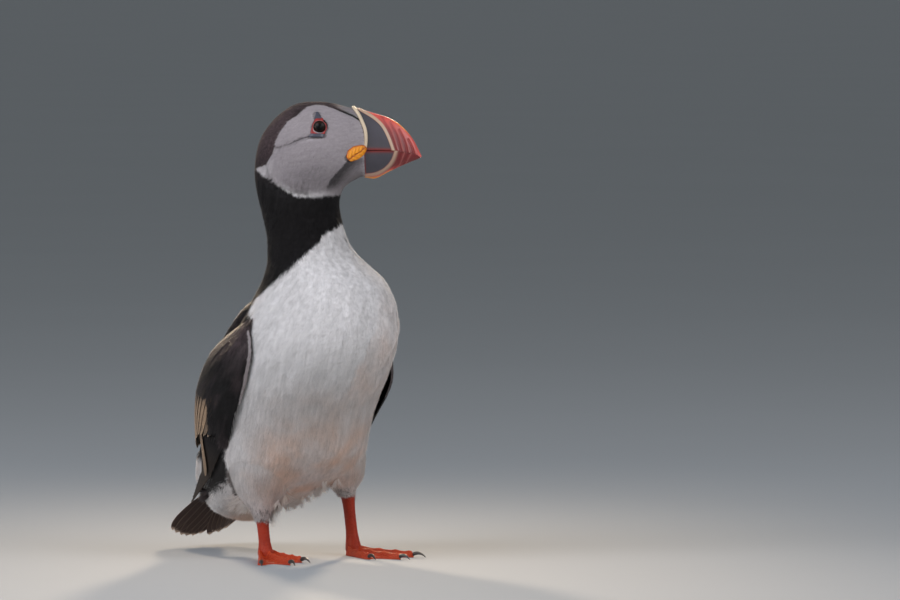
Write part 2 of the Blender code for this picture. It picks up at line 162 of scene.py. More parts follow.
def makeMesh(name, points, quads, triangles=None, normals=None):
    # a mesh from whole arrays; points are in the bird's millimetres
    triangles = np.zeros((0, 3), int) if triangles is None else triangles
    mesh = bpy.data.meshes.new(name)
    mesh.vertices.add(len(points))
    mesh.vertices.foreach_set("co", toWorld(points).astype(np.float32).ravel())
    corners = np.concatenate([quads.ravel(), triangles.ravel()]).astype(np.int32)
    starts = np.concatenate([np.arange(len(quads)) * 4, len(quads) * 4 + np.arange(len(triangles)) * 3])
    mesh.loops.add(len(corners))
    mesh.loops.foreach_set("vertex_index", corners)
    mesh.polygons.add(len(starts))
    mesh.polygons.foreach_set("loop_start", starts.astype(np.int32))
    mesh.update(calc_edges=True)
    mesh.shade_smooth()
    if normals is not None:
        turnedNormals = np.stack([normals[..., 0], -normals[..., 1], normals[..., 2]], -1)
        mesh.normals_split_custom_set_from_vertices(turnedNormals.astype(np.float32))
    obj = bpy.data.objects.new(name, mesh)
    bpy.context.scene.collection.objects.link(obj)
    return obj, corners


def fourShares(*shares):
    # four values or arrays as one array of colours
    return np.stack(np.broadcast_arrays(*shares), -1)


def setColour(obj, name, values):
    # a colour of four shares for each vertex
    layer = obj.data.color_attributes.new(name, "FLOAT_COLOR", "POINT")
    layer.data.foreach_set("color", np.asarray(values, np.float32).ravel())


def tubeColour(obj, name, values):
    # a colour for each place of a closed tube, whose two end points take the first place's and the last one's
    values = values.reshape(-1, 4)
    setColour(obj, name, np.concatenate([values, values[:1], values[-1:]]))


def setUv(obj, name, values, corners):
    # one UV place for each vertex
    layer = obj.data.uv_layers.new(name=name)
    layer.data.foreach_set("uv", np.asarray(values, np.float32)[corners].ravel())


def gridFaces(rows, columns, around=False):
    # quads of a grid of rows by columns, joined round when around is set; rows run first
    i = np.arange(rows - 1)[:, None]
    j = np.arange(columns if around else columns - 1)[None, :]
    k = (j + 1) % columns
    return np.stack([i * columns + j, i * columns + k, (i + 1) * columns + k, (i + 1) * columns + j],
                    -1).reshape(-1, 4)


def sheetFaces(rows, columns):
    # quads of two grids of one size, the second after the first, joined round their rims
    quads, half = gridFaces(rows, columns), rows * columns
    rim = np.concatenate([np.arange(columns), (np.arange(1, rows) + 1) * columns - 1,
                          (rows - 1) * columns + np.arange(columns - 2, -1, -1),
                          np.arange(rows - 2, 0, -1) * columns])
    sides = np.stack([rim, rim + half, np.roll(rim, -1) + half, np.roll(rim, -1)], -1)
    return np.concatenate([quads, quads[:, ::-1] + half, sides])


def closedTube(name, rings):
    # rings joined along and round, with a fan to the middle of each end ring
    rows, columns = rings.shape[:2]
    points = np.concatenate([rings.reshape(-1, 3), rings[0].mean(0)[None], rings[-1].mean(0)[None]])
    j = np.arange(columns)
    k = (j + 1) % columns
    first = np.stack([np.full(columns, rows * columns), k, j], -1)
    last = np.stack([np.full(columns, rows * columns + 1), (rows - 1) * columns + j, (rows - 1) * columns + k], -1)
    obj, _ = makeMesh(name, points, gridFaces(rows, columns, True), np.concatenate([first, last]))
    facesOut(obj)
    return obj


def facesOut(obj):
    # turns a closed mesh the right way out by the sign of its volume
    mesh = obj.data
    mesh.calc_loop_triangles()
    corners = np.empty(len(mesh.loop_triangles) * 3, np.int32)
    mesh.loop_triangles.foreach_get("vertices", corners)
    places = np.empty(len(mesh.vertices) * 3, np.float32)
    mesh.vertices.foreach_get("co", places)
    triangle = places.reshape(-1, 3)[corners.reshape(-1, 3)].astype(float)
    volume = np.einsum("ij,ij->i", triangle[:, 0], np.cross(triangle[:, 1], triangle[:, 2])).sum()
    if volume < 0:
        mesh.flip_normals()


# wings' shape

wingShape = {
    # station, angle of the trailing and of the leading edge in degrees, thickness
    "rows": [(-0.35, 40, 54, 0.9), (0.0, 38, 62, 1.8), (1.0, 38, 76, 3.0), (2.0, 34, 91, 4.2), (2.5, 22, 98, 5.0),
             (3.0, 17, 104, 6.2), (4.0, 21, 109, 8.0), (4.5, 30, 107, 8.2), (5.0, 43, 102, 7.8), (5.3, 52, 97, 6.8),
             (5.6, 60, 88.5, 5.0), (5.85, 67, 78, 2.6), (6.0, 70, 74, 0.6)],
    "offBody": 0.7,
    "edgeThick": 0.6,
    "leaves": 1.9,  # station where the wing's tip leaves the body, and its way from there for each station
    "onward": (11.6, -27.0, -12.4),
    "heldOut": {1: 0.0, -1: 4.2},  # right wing, left wing: how far the leading edge stands off
    "heldStation": (4.3, 0.65),  # where along the wing that is, and over how many stations
}
wingTable = np.array(wingShape["rows"], float)


def wingEdges(at):
    # angles of the trailing and of the leading edge at a station, in degrees
    return np.interp(at, wingTable[:, 0], wingTable[:, 1]), np.interp(at, wingTable[:, 0], wingTable[:, 2])


def wingAngle(at, share, side):
    trailing, leading = wingEdges(at)
    return side * np.radians(trailing + (leading - trailing) * share)


def shareOfWing(t, angle, side):
    # the other way: the share of the way from the trailing to the leading edge at a place of the body
    trailing, leading = wingEdges(t)
    return (np.degrees(side * angle) - trailing) / (leading - trailing)


def wingBulge(at, share, side):
    # Height over the body, and how far the leading edge stands off besides. The wing is flat-topped across:
    # thickness times (1 - |2 share - 1| cubed) to the power 0.7.
    thick = np.interp(at, wingTable[:, 0], wingTable[:, 3])
    across = np.clip(1 - np.abs(2 * share - 1) ** 3, 0, 1) ** 0.7
    place, spread = wingShape["heldStation"]
    held = wingShape["heldOut"][side] * bell(at - place, spread) * np.clip(share, 0, 1) ** 2
    return wingShape["edgeThick"] + (thick - wingShape["edgeThick"]) * across, held


def wingPoint(side):
    # the outside of one folded wing: at is the body's station, share runs from the trailing to the leading edge
    def point(at, share, grow=0.0):
        bulge, held = wingBulge(at, share, side)
        return bodyPoint(at, wingAngle(at, share, side), wingShape["offBody"] + held + bulge + grow)
    return point


# markings

markings = {
    # the grey face in the head's own plane: (forward, up) along its upper and its lower edge
    "faceTop": [(-24.6, 211.9), (-20.5, 214.6), (-18.2, 217.4), (-15.3, 223.0), (-11.0, 231.9), (-6.7, 237.4),
                (-1.5, 240.6), (0.6, 242.5), (3.7, 245.2), (9.0, 246.2), (12.9, 245.8), (18.1, 244.0),
                (23.4, 241.6), (27.9, 239.6), (31.0, 237.5), (34.0, 234.0)],
    "faceBottom": [(-24.6, 211.6), (-19.8, 208.0), (-13.3, 203.4), (-6.7, 199.5), (-2.2, 197.7), (3.7, 197.2),
                   (12.9, 197.4), (21.4, 198.0)],
    # the dark chin: the sharp line from the mouth's corner to the throat at its back, and how far it fades forward
    "chinLine": [(25.6, 216.2), (20.8, 210.6), (16.8, 206.0), (14.6, 202.6), (13.6, 199.0)],
    "chinFade": 8.5,
    # the black of the collar and back ends at this angle from the dorsal line, by station
    "backEdge": [(-1.0, 90), (0.0, 82), (0.5, 74), (1.0, 60), (1.4, 48), (2.0, 44), (3.0, 46), (4.5, 60), (5.0, 75),
                 (5.4, 86), (5.6, 84), (5.85, 76), (6.05, 70), (6.25, 55), (6.48, 55), (6.86, 67), (7.33, 81),
                 (7.94, 109), (8.5, 142), (8.72, 182), (9.0, 200)],
    # a ragged dark patch on the flank below the wing's tip: its upper and its lower edge in degrees, by station
    "flankPatch": [(0.85, 70, 70), (1.17, 69, 85), (1.64, 70, 96), (1.9, 74, 104), (2.1, 78, 107), (2.35, 81, 106),
                   (2.6, 86, 103), (2.9, 92, 100), (3.1, 95, 95)],
    # the furrow behind the eye, in the head's plane
    "crease": [(4.6, 229.6), (0.5, 228.5), (-3.6, 226.9), (-8.4, 225.3), (-13.4, 224.4), (-15.6, 224.2)],
}


def lineDistance(x, y, line, samples=60):
    # least distance from each place to a line through a few points, and how far along it that is
    line = np.array(line, float)
    s = np.linspace(0, len(line) - 1, samples)
    path = smooth(line, s)
    away = (np.asarray(x)[..., None] - path[:, 0]) ** 2 + (np.asarray(y)[..., None] - path[:, 1]) ** 2
    return np.sqrt(away.min(-1)), away.argmin(-1) / (samples - 1)


def sideOf(forward, up, line):
    # distance from a line through a few points, less than 0 behind it
    line = smooth(np.array(line, float), np.linspace(0, len(line) - 1, 60))
    dx, dy = forward[..., None] - line[:, 0], up[..., None] - line[:, 1]
    nearest = np.hypot(dx, dy).argmin(-1)
    direction = np.gradient(line, axis=0)
    direction = direction / np.linalg.norm(direction, axis=-1, keepdims=True)
    pick = lambda x: np.take_along_axis(x, nearest[..., None], -1)[..., 0]
    return pick(dx) * -direction[nearest, 1] + pick(dy) * direction[nearest, 0]


def wingCover(t, angle):
    # 1 where a folded wing lies on the body
    cover = 0.0
    for side in (1, -1):
        share = shareOfWing(t, angle, side)
        cover = cover + step(-0.03, 0.03, share) * step(0.93, 0.90, share) * step(2.2, 2.5, t) * step(6.1, 5.9, t)
    return cover


def marksAt(t, angle, points):
    # shares of dark, grey and warm at a place of the coat; dark also holds painted shade, and warm is painted warm
    # light and sheen
    forward, _, up = headPlace(points)
    angle = (angle + np.pi) % (2 * np.pi) - np.pi
    top = alongTable(markings["faceTop"], forward)
    bottom = alongTable(markings["faceBottom"], forward)
    face = step(-0.25, 0.25, top - up) * step(-0.35, 0.35, up - bottom) * step(8.6, 9.2, t)
    face = face * step(-24.8, -24.0, forward)
    edge = alongTable(markings["backEdge"], t) - np.degrees(np.abs(angle))
    dark = np.where(t > 8.9, 1.0, step(-1.5, 1.5, edge)) * (1 - face)
    dark = np.maximum(dark, wingCover(t, angle))
    patch = np.array(markings["flankPatch"], float)
    turn = np.degrees(np.abs(angle)) + 2.5 * ripple(t * 2, angle * 14, 61)
    patchTop, patchLow = np.interp(t, patch[:, 0], patch[:, 1]), np.interp(t, patch[:, 0], patch[:, 2])
    dark = np.maximum(dark, step(-0.8, 0.8, turn - patchTop) * step(-0.8, 0.8, patchLow - turn))
    # painted shade: the white of the body is made darker towards the bottom of the belly
    dark = dark + (1 - dark) * 0.16 * step(150, 70, up) * step(6.2, 4.5, t)
    chin = sideOf(forward, up, markings["chinLine"])
    fade = 1 - 0.78 * step(1.5, markings["chinFade"], chin)
    chin = face * step(-0.5, 0.6, chin) * fade * step(218.5, 215, up) * step(199.5, 204.0, up)
    rim = face * step(4.2, 0.4, up - bottom) * step(19.0, 8.0, np.abs(forward - 1))
    rim = np.maximum(rim, 0.5 * face * step(-12.0, -22.0, forward))
    furrow, along = lineDistance(forward, up, markings["crease"], 24)
    furrow = face * bell(furrow, 0.5) * step(1.02, 0.7, along)
    dark = np.maximum(dark, 0.82 * chin)
    # darker under the cheek: partly the face's own darker grey, partly painted shade where the cheek curves down
    shade = np.exp(-(((forward - 3) / 15) ** 2) - ((up - 206) / 10.5) ** 2) * step(0.5, 5.0, up - bottom)
    dark = np.maximum(dark, 0.33 * face * shade)
    # painted shade in the furrow behind the eye
    dark = np.maximum(dark, 0.8 * furrow)
    brow = (1 - face) * step(9.5, 11.0, t) * step(16, 27, forward) * step(top + 0.9, top + 2.2, up)
    dark = dark - 0.74 * brow
    grey = face * (1 - 0.75 * rim)
    grey = np.maximum(grey, brow)
    # painted warm light: warm bounce light on the lower body, strongest on its underside and on the belly's shaded
    # left side
    warm = step(108, 52, up) * (0.12 + 0.88 * step(105, 150, np.degrees(np.abs(angle))))
    warm = np.maximum(warm, 0.42 * step(165, 95, up) * step(-30, -110, np.degrees(angle))) * (1 - dark)
    # painted brown sheen on the black of the hind crown, the nape and the top of the crown
    warm = np.maximum(warm, dark * step(9.6, 11.0, t) * step(-4.0, -16.0, forward - 0.3 * (up - 215)))
    warm = np.maximum(warm, 0.8 * dark * step(9.6, 11.0, t) * step(241, 245, up))
    return np.stack([np.clip(dark, 0, 1), grey, warm], -1)


# surface relief

relief = {
    "creaseDepth": 1.3,
    "creaseWidth": 0.9,
    "cheekEdge": [(-12.5, 223.5), (-18.0, 219.0), (-20.0, 213.5), (-17.5, 207.5), (-9.0, 202.0), (4.0, 199.5)],
    "cheekDepth": 1.8,
    "cheekWidth": 1.9,
    # from the dorsal to the ventral line: how far the feathers' front edge stands ahead of the solid's
    "billEdge": [(0.0, -0.8), (0.08, 0.2), (0.19, 1.4), (0.31, 2.3), (0.43, 2.3), (0.58, 1.3), (0.77, 0.7),
                 (1.0, 0.4)],
    "flank": 6.2,  # how full the white flank stands beside the rump
    "vent": 3.2,  # and how full the feathers under the tail
    "hollow": 4.0,  # how far the underside is drawn in between vent and belly
    "clump": 0.34,  # height of the soft locks that breast and belly feathers fall into
}

# depth of the coat by station: how far the skin lies inside the solids
coatDepth = [(-1, 2.4), (2, 2.8), (6, 2.8), (8, 2.2), (9.5, 1.8), (11, 1.3), (14, 1.0)]
# length of a body feather's visible part by station
coatLength = [(-1, 13), (1, 12), (3, 9.5), (6, 8.0), (7.5, 6.5), (9, 4.6), (10.5, 3.2), (12, 2.3), (14, 1.8)]


def reliefAt(t, angle):
    # height over the smooth body: furrows behind the eye and round the cheek, and soft locks below the neck
    forward, _, up = headPlace(bodyPoint(t, angle))
    near, along = lineDistance(forward, up, markings["crease"], 24)
    furrow = bell(near, relief["creaseWidth"]) * step(9.5, 10.5, t) * step(1.02, 0.7, along)
    near, _ = lineDistance(forward, up, relief["cheekEdge"], 24)
    cheek = bell(near, relief["cheekWidth"]) * step(9.0, 9.8, t)
    locks = relief["clump"] * step(9.0, 7.5, t) * ripple(t * 1.15, angle * 3.4, 5)
    return locks - relief["creaseDepth"] * furrow - relief["cheekDepth"] * cheek


def depthAt(t):
    return alongTable(coatDepth, t)


def billEdge(t, angle, points):
    # the feathers' front edge is drawn forward along the bill's base, by an amount that depends on the level
    share = (1 - np.cos(angle)) / 2
    ahead = alongTable(relief["billEdge"], share) * step(12.9, 14.0, t)
    return points + ahead[..., None] * np.array((math.sin(headTurn), math.cos(headTurn), 0.0))


def joinAt(t, angle):
    # extra height of the trunk's coat: the full white flank and vent, the hollow underside between vent and
    # belly, and the flow into the thighs
    place = bodyPoint(t, angle)
    turn = np.degrees(np.abs((angle + np.pi) % (2 * np.pi) - np.pi))
    join = relief["flank"] * bell(turn - 59, 8) * step(0.4, 1.3, t) * step(2.9, 2.3, t)
    join = join + relief["vent"] * step(72, 95, turn) * step(0.05, 0.45, t) * step(1.05, 0.5, t)
    join = join - relief["hollow"] * step(112, 140, turn) * bell(t - 1.15, 0.5)
    for side in (1, -1):
        reach, fore = thighReach(place, side)
        join = join + thighBlend(reach, fore) * step(5.2, 4.2, t)
    return join


def bodyCoat(t, angle, grow=0.0):
    # the body with its relief, a given height above the solids
    grow = grow + reliefAt(t, angle)
    if np.min(t) < 5.2:
        grow = grow + joinAt(t, angle)
    return billEdge(t, angle, bodyPoint(t, angle, grow))


# thighs and the skin

thighs = {
    "hip": (24.0, -13.0, 62.0),
    "radii": (17.0, 17.0, 14.0, 9.0),  # fore and aft, from the hip down
    "sideways": 0.82,  # width as a share of that
    # end of the leg's feathers by side (1 left, -1 right)
    "end": {-1: (-19.4, -14.0, 22.5), 1: (33.9, -12.0, 33.5)},
    "blend": 15.0,  # how far from their meeting line body and thigh flow into each other
    "tufts": 5200,  # on each thigh
    "looseTufts": 70,  # beside the end of the right one
}


def thighRadius(level):
    # the taper's radius at a level from the hip, 0, to the end of the feathers, 1; it draws in past 0.7
    radius = smooth(np.array(thighs["radii"])[:, None], np.clip(level, 0, 1) * 3)[..., 0]
    return radius * (1 - 0.52 * step(0.66, 1.06, level))


def thighEnds(side):
    # the hip, and the end of the leg's feathers
    return np.array((side * thighs["hip"][0], *thighs["hip"][1:])), np.array(thighs["end"][side])


def thighPoint(side):
    # a taper from the hip to the end of the feathers: along is 1 at the hip and 0 at the end, which narrows past it
    hip, end = thighEnds(side)

    def point(along, around, grow=0.0):
        level = 1 - along
        centre = hip + (end - hip) * level[..., None]
        radius = thighRadius(level) + grow
        return np.stack([
            centre[..., 0] + thighs["sideways"] * radius * np.cos(around),
            centre[..., 1] + radius * np.sin(around),
            centre[..., 2] + 0 * around,
        ], -1)
    return point


def thighSection(points, hip, end):
    # level from hip to end, and how far left and forward of the thigh's middle at that level
    level = (hip[2] - points[..., 2]) / (hip[2] - end[2])
    centre = hip + (end - hip) * np.clip(level, 0, 1)[..., None]
    return level, (points[..., 0] - centre[..., 0]) / thighs["sideways"], points[..., 1] - centre[..., 1]


def thighReach(points, side):
    # how far a place is outside the thigh's wall, less than 0 inside; how far forward of its middle, in radii
    hip, end = thighEnds(side)
    level, x, y = thighSection(points, hip, end)
    radius = thighRadius(level)
    return np.hypot(x, y) - radius + 0.5 * np.maximum(points[..., 2] - hip[2], 0), y / radius


def thighBlend(reach, fore):
    # how much the coat is raised where body and thigh meet: a quarter of the blend's reach on the meeting line,
    # falling off as a square, and nothing behind the leg, where the flank passes behind the thigh
    near = np.clip(1 - np.abs(reach) / thighs["blend"], 0, 1)
    return 0.25 * thighs["blend"] * near**2 * step(-0.8, 0.0, fore)


def readGrid(table, u, v):
    # bilinear reading of a grid whose rows run over u and whose columns run over v, from 0 to 1
    rows, columns = table.shape
    x, y = np.clip(u, 0, 1) * (rows - 1), np.clip(v, 0, 1) * (columns - 1)
    i, j = np.minimum(x.astype(int), rows - 2), np.minimum(y.astype(int), columns - 2)
    x, y = x - i, y - j
    low = table[i, j] * (1 - x) + table[i + 1, j] * x
    return low * (1 - y) + (table[i, j + 1] * (1 - x) + table[i + 1, j + 1] * x) * y


def thighOutside(side):
    # how far each place of the thigh's wall is outside the body, on a coarse grid
    along, around = np.meshgrid(np.linspace(0, 1, 31), np.linspace(0, 2 * math.pi, 49), indexing="ij")
    wall = thighPoint(side)(along, around).reshape(-1, 1, 3)
    netT, netAngle = np.meshgrid(np.linspace(0.2, 5.5, 52), np.linspace(1.2, 3.5, 42) * -side, indexing="ij")
    net, outward = bodyPoint(netT, netAngle).reshape(-1, 3), surfaceFrame(bodyPoint, netT, netAngle)[2].reshape(-1, 3)
    nearest = ((wall - net) ** 2).sum(-1).argmin(1)
    return ((wall[:, 0] - net[nearest]) * outward[nearest]).sum(-1).reshape(along.shape)


def thighCoat(side, outside):
    # the thigh's wall with the raised join to the body
    surface = thighPoint(side)

    def point(along, around, grow=0.0):
        reach = readGrid(outside, along, (around / (2 * math.pi)) % 1)
        return surface(along, around, grow + thighBlend(reach, np.sin(around)))
    return point


def wingOnBody(t, angle, side):
    # the wing's height over the body at a place of the body
    share = shareOfWing(t, angle, side)
    bulge, held = wingBulge(t, np.clip(share, 0, 1), side)
    inside = step(-0.02, 0.1, share) * step(1.02, 0.93, share) * step(2.2, 2.8, t) * step(6.1, 5.8, t)
    return inside * (bulge + held) * skin["wingShare"]


def pullThigh(points, side):
    # Points of the belly within the thigh's section are laid over the thigh: the outer half of the section
    # becomes its wall, further down the nearer they are to its middle, and the inner half closes its end.
    hip, end = thighEnds(side)
    end = end + (0, 0, skin["thighShort"])
    level, x, y = thighSection(points, hip, end)
    level = np.clip(level, 0, 1)
    radius = thighRadius(level) - skin["thighDepth"] * (1 - 0.55 * level)
    away = np.hypot(x, y) / radius
    lower = level + (1 - level) * np.clip((1 - away) / 0.5, 0, 1)
    radiusLow = thighRadius(lower) - skin["thighDepth"] * (1 - 0.55 * lower)
    reach = radiusLow * np.clip(away / 0.5, 0, 1) / np.maximum(away * radius, 1e-6)
    centreLow = hip + (end - hip) * lower[..., None]
    moved = np.stack([centreLow[..., 0] + x * reach * thighs["sideways"], centreLow[..., 1] + y * reach,
                      centreLow[..., 2]], -1)
    inside = ((away < 1) & (points[..., 2] < hip[2]))[..., None]
    return np.where(inside, moved, points)


skin = {
    "rowsPerStation": 16,
    "around": 192,
    "wingShare": 0.8,  # how much of the wing's thickness is flesh
    "thighDepth": 2.6,  # how far the skin lies inside the thigh's wall at the hip
    "thighShort": 3.0,  # how far above the end of the feathers it closes
}


def buildSkin():
    t = np.linspace(0, 14, 14 * skin["rowsPerStation"] + 1)[:, None]
    angle = np.linspace(-math.pi, math.pi, skin["around"], endpoint=False)[None, :]
    t, angle = np.broadcast_arrays(t, angle)
    grow = reliefAt(t, angle) + joinAt(t, angle) - depthAt(t) + wingOnBody(t, angle, 1) + wingOnBody(t, angle, -1)
    points = billEdge(t, angle, bodyPoint(t, angle, grow))
    belly = (np.abs(angle) > 1.75) & (t < 5)
    for side in (1, -1):
        points = np.where(belly[..., None], pullThigh(points, side), points)
    obj = closedTube("skin", points)
    marks = marksAt(t, angle, bodyPoint(t, angle))
    tubeColour(obj, "marks", fourShares(*np.moveaxis(marks, -1, 0), 0.0))
    tubeColour(obj, "lie", fourShares(0.0 * t, 0.5, 0.4, 1.0))
    print("skin", len(obj.data.polygons), "faces")
    return obj


# feathers laid on a surface


def surfaceFrame(surface, a, b):
    # lengths in millimetres of one unit of a and of b, and the outward normal, by small steps
    d = 0.02
    alongA = (surface(a + d, b) - surface(a - d, b)) / (2 * d)
    alongB = (surface(a, b + d) - surface(a, b - d)) / (2 * d)
    outward = np.cross(alongA, alongB)
    outward /= np.maximum(np.linalg.norm(outward, axis=-1, keepdims=True), 1e-9)
    lifted = surface(a, b, 0.5) - surface(a, b)
    outward *= np.sign((outward * lifted).sum(-1, keepdims=True))
    return np.linalg.norm(alongA, axis=-1), np.linalg.norm(alongB, axis=-1), outward


tuft = {
    "rows": 2,  # places along each blade, besides its tip
    "columns": 2,  # and across it
    "rounded": 0.25,  # how far a blade's normals turn outwards at its edges
    "leastFacing": 0.45,  # least share of a normal along the blade's own
    "markShare": 0.55,  # share of its length at which a tuft takes its markings
    "toneRange": 0.3,
    "uvPatch": 0.003,  # side of a tuft's patch on the unwrapped skin
    # what a piece of the coat has unless it says otherwise
    "usual": {"blades": 3, "spread": 0.2, "stray": 0.07, "fuzz": 0.12, "tilt": 0.12, "nod": 0.15, "flow": 0.0,
              "sway": 0.0, "tone": 0.5},
}


def valueAt(option, a, b):
    # an option is a number or a function of the place
    return option(a, b) if callable(option) else option + 0 * a


def laidVanes(surface, a, b, length, width, lean, rootGrow, tipGrow):
    # Each vane starts at (a, b) and runs towards lower a. Its spine follows the surface, its height goes from
    # rootGrow to tipGrow, and its half width is full at a third and drawn in to its tip. Returns points of shape
    # (vanes, rows * columns + 1, 3), where the last one is the tip, with s and c of each, and the way out.
    rows, columns = tuft["rows"], tuft["columns"]
    unitA, unitB, outward = surfaceFrame(surface, a, b)
    s = np.append(np.repeat(np.linspace(0, 1, rows + 1)[:-1], columns), 1.0)[None, :]
    c = np.append(np.tile(np.linspace(-1, 1, columns), rows), 0.0)[None, :]
    half = np.clip(0.55 + 1.6 * s, 0, 1) * np.clip(1.0 - s, 0, 1) ** 0.45 * (width / 2)[:, None]
    sideways = c * half + np.tan(lean)[:, None] * s * length[:, None]
    ownA = a[:, None] - s * (length / unitA)[:, None]
    ownB = b[:, None] + sideways / unitB[:, None]
    rise = rootGrow[:, None] + (tipGrow - rootGrow)[:, None] * s**1.3
    rise = rise - 0.12 * half * c**2
    return surface(ownA, ownB, rise), np.broadcast_to(s, ownA.shape), np.broadcast_to(c, ownA.shape), outward


def vaneFaces(count, flip):
    # quads and tip triangles of every vane, by adding each vane's offset to one template
    rows, columns = tuft["rows"], tuft["columns"]
    quads = gridFaces(rows, columns)
    j = np.arange(columns - 1)
    tips = np.stack([j, j + 1, np.full(columns - 1, columns)], -1) + (rows - 1) * columns
    if flip:
        quads, tips = quads[:, ::-1], tips[:, ::-1]
    offset = (np.arange(count) * (rows * columns + 1))[:, None, None]
    return (quads + offset).reshape(-1, 4), (tips + offset).reshape(-1, 3)


def looksInward(points, outward):
    # true if the template's faces would look inwards on most vanes; the world's axes mirror the bird's
    middle = (tuft["rows"] // 2) * tuft["columns"]
    across = points[:, middle + tuft["columns"] - 1] - points[:, middle]
    along = points[:, -1] - points[:, 0]
    return (np.cross(across, along) * outward).sum() > 0


def unwrap(t, angle):
    # the skin laid flat: angle round it and station along it, each from 0 to 1
    angle = (angle + np.pi) % (2 * np.pi) - np.pi
    return np.stack([np.clip(0.5 + angle / (2 * np.pi), 0.002, 0.998), np.clip(t / 14, 0.002, 0.998)], -1)


def scatter(surface, count, aRange, bRange, keep):
    # random roots, even over the surface: more are drawn than needed, and thinned by the area each stands for
    pool = max(count * 6, 60000)
    a = rng.uniform(*aRange, pool)
    b = rng.uniform(*bRange, pool)
    unitA, unitB, _ = surfaceFrame(surface, a, b)
    area = unitA * unitB * valueAt(keep, a, b)
    area = area / np.quantile(area, 0.99)
    chosen = np.flatnonzero(rng.uniform(size=pool) < area)
    return a[chosen[:count]], b[chosen[:count]]


def buildTufts(name, surface, a, b, place, options):
    # A coat piece: each tuft is a fan of narrow blades from one root. place gives the station and angle of a
    # root on the skin, for its markings and its place on the unwrapped skin.
    options = {**tuft["usual"], **options}
    own = lambda key: valueAt(options[key], a, b)
    count, blades = len(a), options["blades"]
    length = own("length") * rng.uniform(0.8, 1.2, count)
    width = own("width") * rng.uniform(0.8, 1.2, count)
    many = np.repeat(np.arange(count), blades)
    fan = np.tile((np.arange(blades) - (blades - 1) / 2) * options["spread"], count)
    flow = own("flow") + rng.normal(0, options["stray"], count)
    lean = fan + flow[many] + rng.normal(0, 0.04, len(many))
    longer = length[many] * (1 - 0.5 * np.abs(fan)) * rng.uniform(0.85, 1.1, len(many))
    tip = (own("tip") + rng.normal(0, 1, count) * own("fuzz"))[many]
    points, s, c, outward = laidVanes(surface, a[many], b[many], longer, width[many], lean, own("base")[many], tip)
    flip = looksInward(points, outward)
    quads, tips = vaneFaces(len(many), flip)
    along = points[:, -1] - points[:, 0]
    along = along / np.maximum(np.linalg.norm(along, axis=-1, keepdims=True), 1e-9)
    across = np.cross(outward, along)
    edge = points[:, tuft["columns"] - 1] - points[:, 0]
    hand = np.sign((edge * across).sum(-1))[:, None, None]
    sway = (own("sway") + rng.normal(0, options["tilt"], count))[many][:, None, None]
    facing = options["facing"](a, b)[many] if "facing" in options else outward
    normals = (facing[:, None, :] + (tuft["rounded"] * hand * c[..., None] + sway) * across[:, None, :]
               + options["nod"] * along[:, None, :] * s[..., None])
    # normals are turned towards their own blade where they would lean away from it; the world's axes mirror
    # the bird's
    plane = np.cross(edge, along) * (1 if flip else -1)
    plane = (plane / np.maximum(np.linalg.norm(plane, axis=-1, keepdims=True), 1e-9))[:, None, :]
    normals = normals + np.maximum(tuft["leastFacing"] - (normals * plane).sum(-1, keepdims=True), 0) * plane
    obj, corners = makeMesh(name, points.reshape(-1, 3), quads, tips, normals.reshape(-1, 3))
    uv = unwrap(*place(a, b))[many][:, None, :] + tuft["uvPatch"] * np.stack([c * 0.5, s - 0.5], -1)
    setUv(obj, "OFBake", np.clip(uv, 0, 1).reshape(-1, 2), corners)
    midA = a - tuft["markShare"] * length / surfaceFrame(surface, a, b)[0]
    marks = options["marks"](*place(midA, b), a, b)[many][:, None, :]
    setColour(obj, "marks", fourShares(*np.moveaxis(marks, -1, 0), 0 * s))
    tone = np.clip(own("tone") + tuft["toneRange"] * rng.uniform(-1, 1, count), 0, 1)
    setColour(obj, "lie", fourShares(s, c * 0.5 + 0.5, tone[many][:, None], 1.0))
    print(name, count, "tufts,", len(quads) * 2 + len(tips), "triangles")
    return obj


def bodyMarks(t, angle, a, b):
    return marksAt(t, angle, bodyPoint(t, angle))


def plainMarks(dark, grey=0.0, warm=0.0):
    return lambda t, angle, a, b: np.stack([dark + 0 * t, grey + 0 * t, warm + 0 * t], -1)


# the head's side, seen square on

headPatches = {
    "eye": (10.45, 234.2),  # middle of the eye: forward, up
    "ballLeft": 12.5,  # how far from the head's midline the ball's middle lies
    "ballRadius": 4.4,
    "opening": 3.35,  # radius
    # outer edge of the bare ring: its corners, and its least radius
    "ringCorners": [(5.3, 230.5), (13.6, 230.3), (12.4, 239.1), (8.1, 239.1)],
    "ringLeast": 4.0,
    # where no feather grows or ends: radius about the eye, and lines along the plates and the rosette, each with
    # its reach
    "bareRadius": 4.3,
    "bareLines": [((9.4, 237.5), (8.7, 241.2), 1.6), ((5.4, 229.6), (12.4, 229.4), 1.15),
                  ((26.8, 217.6), (32.2, 221.4), 2.3)],
    # bare plates: middle, corners of the outline from it, how proud of the feathers, rounding of the corners
    "upperPlate": {"middle": (9.6, 239.7), "corners": [(-2.1, -1.7), (2.6, -1.6), (-0.1, 2.6), (-0.9, 2.5)],
                   "proud": 0.85, "soften": 1.5},
    "lowerPlate": {"middle": (8.9, 229.8), "corners": [(-4.3, -0.95), (-3.2, 1.0), (4.2, 0.95), (3.8, -1.2)],
                   "proud": 1.0, "soften": 1.3},
    "rosette": {"middle": (29.5, 219.9), "corners": [(-4.7, -2.2), (-4.0, 1.3), (-1.8, 3.8), (1.8, 4.5), (4.0, 3.8),
                                                     (4.8, 2.0), (3.8, -0.6), (1.4, -3.0), (-2.6, -4.5)],
                "proud": 1.55, "soften": 3.0, "furrowSlope": 40},
}


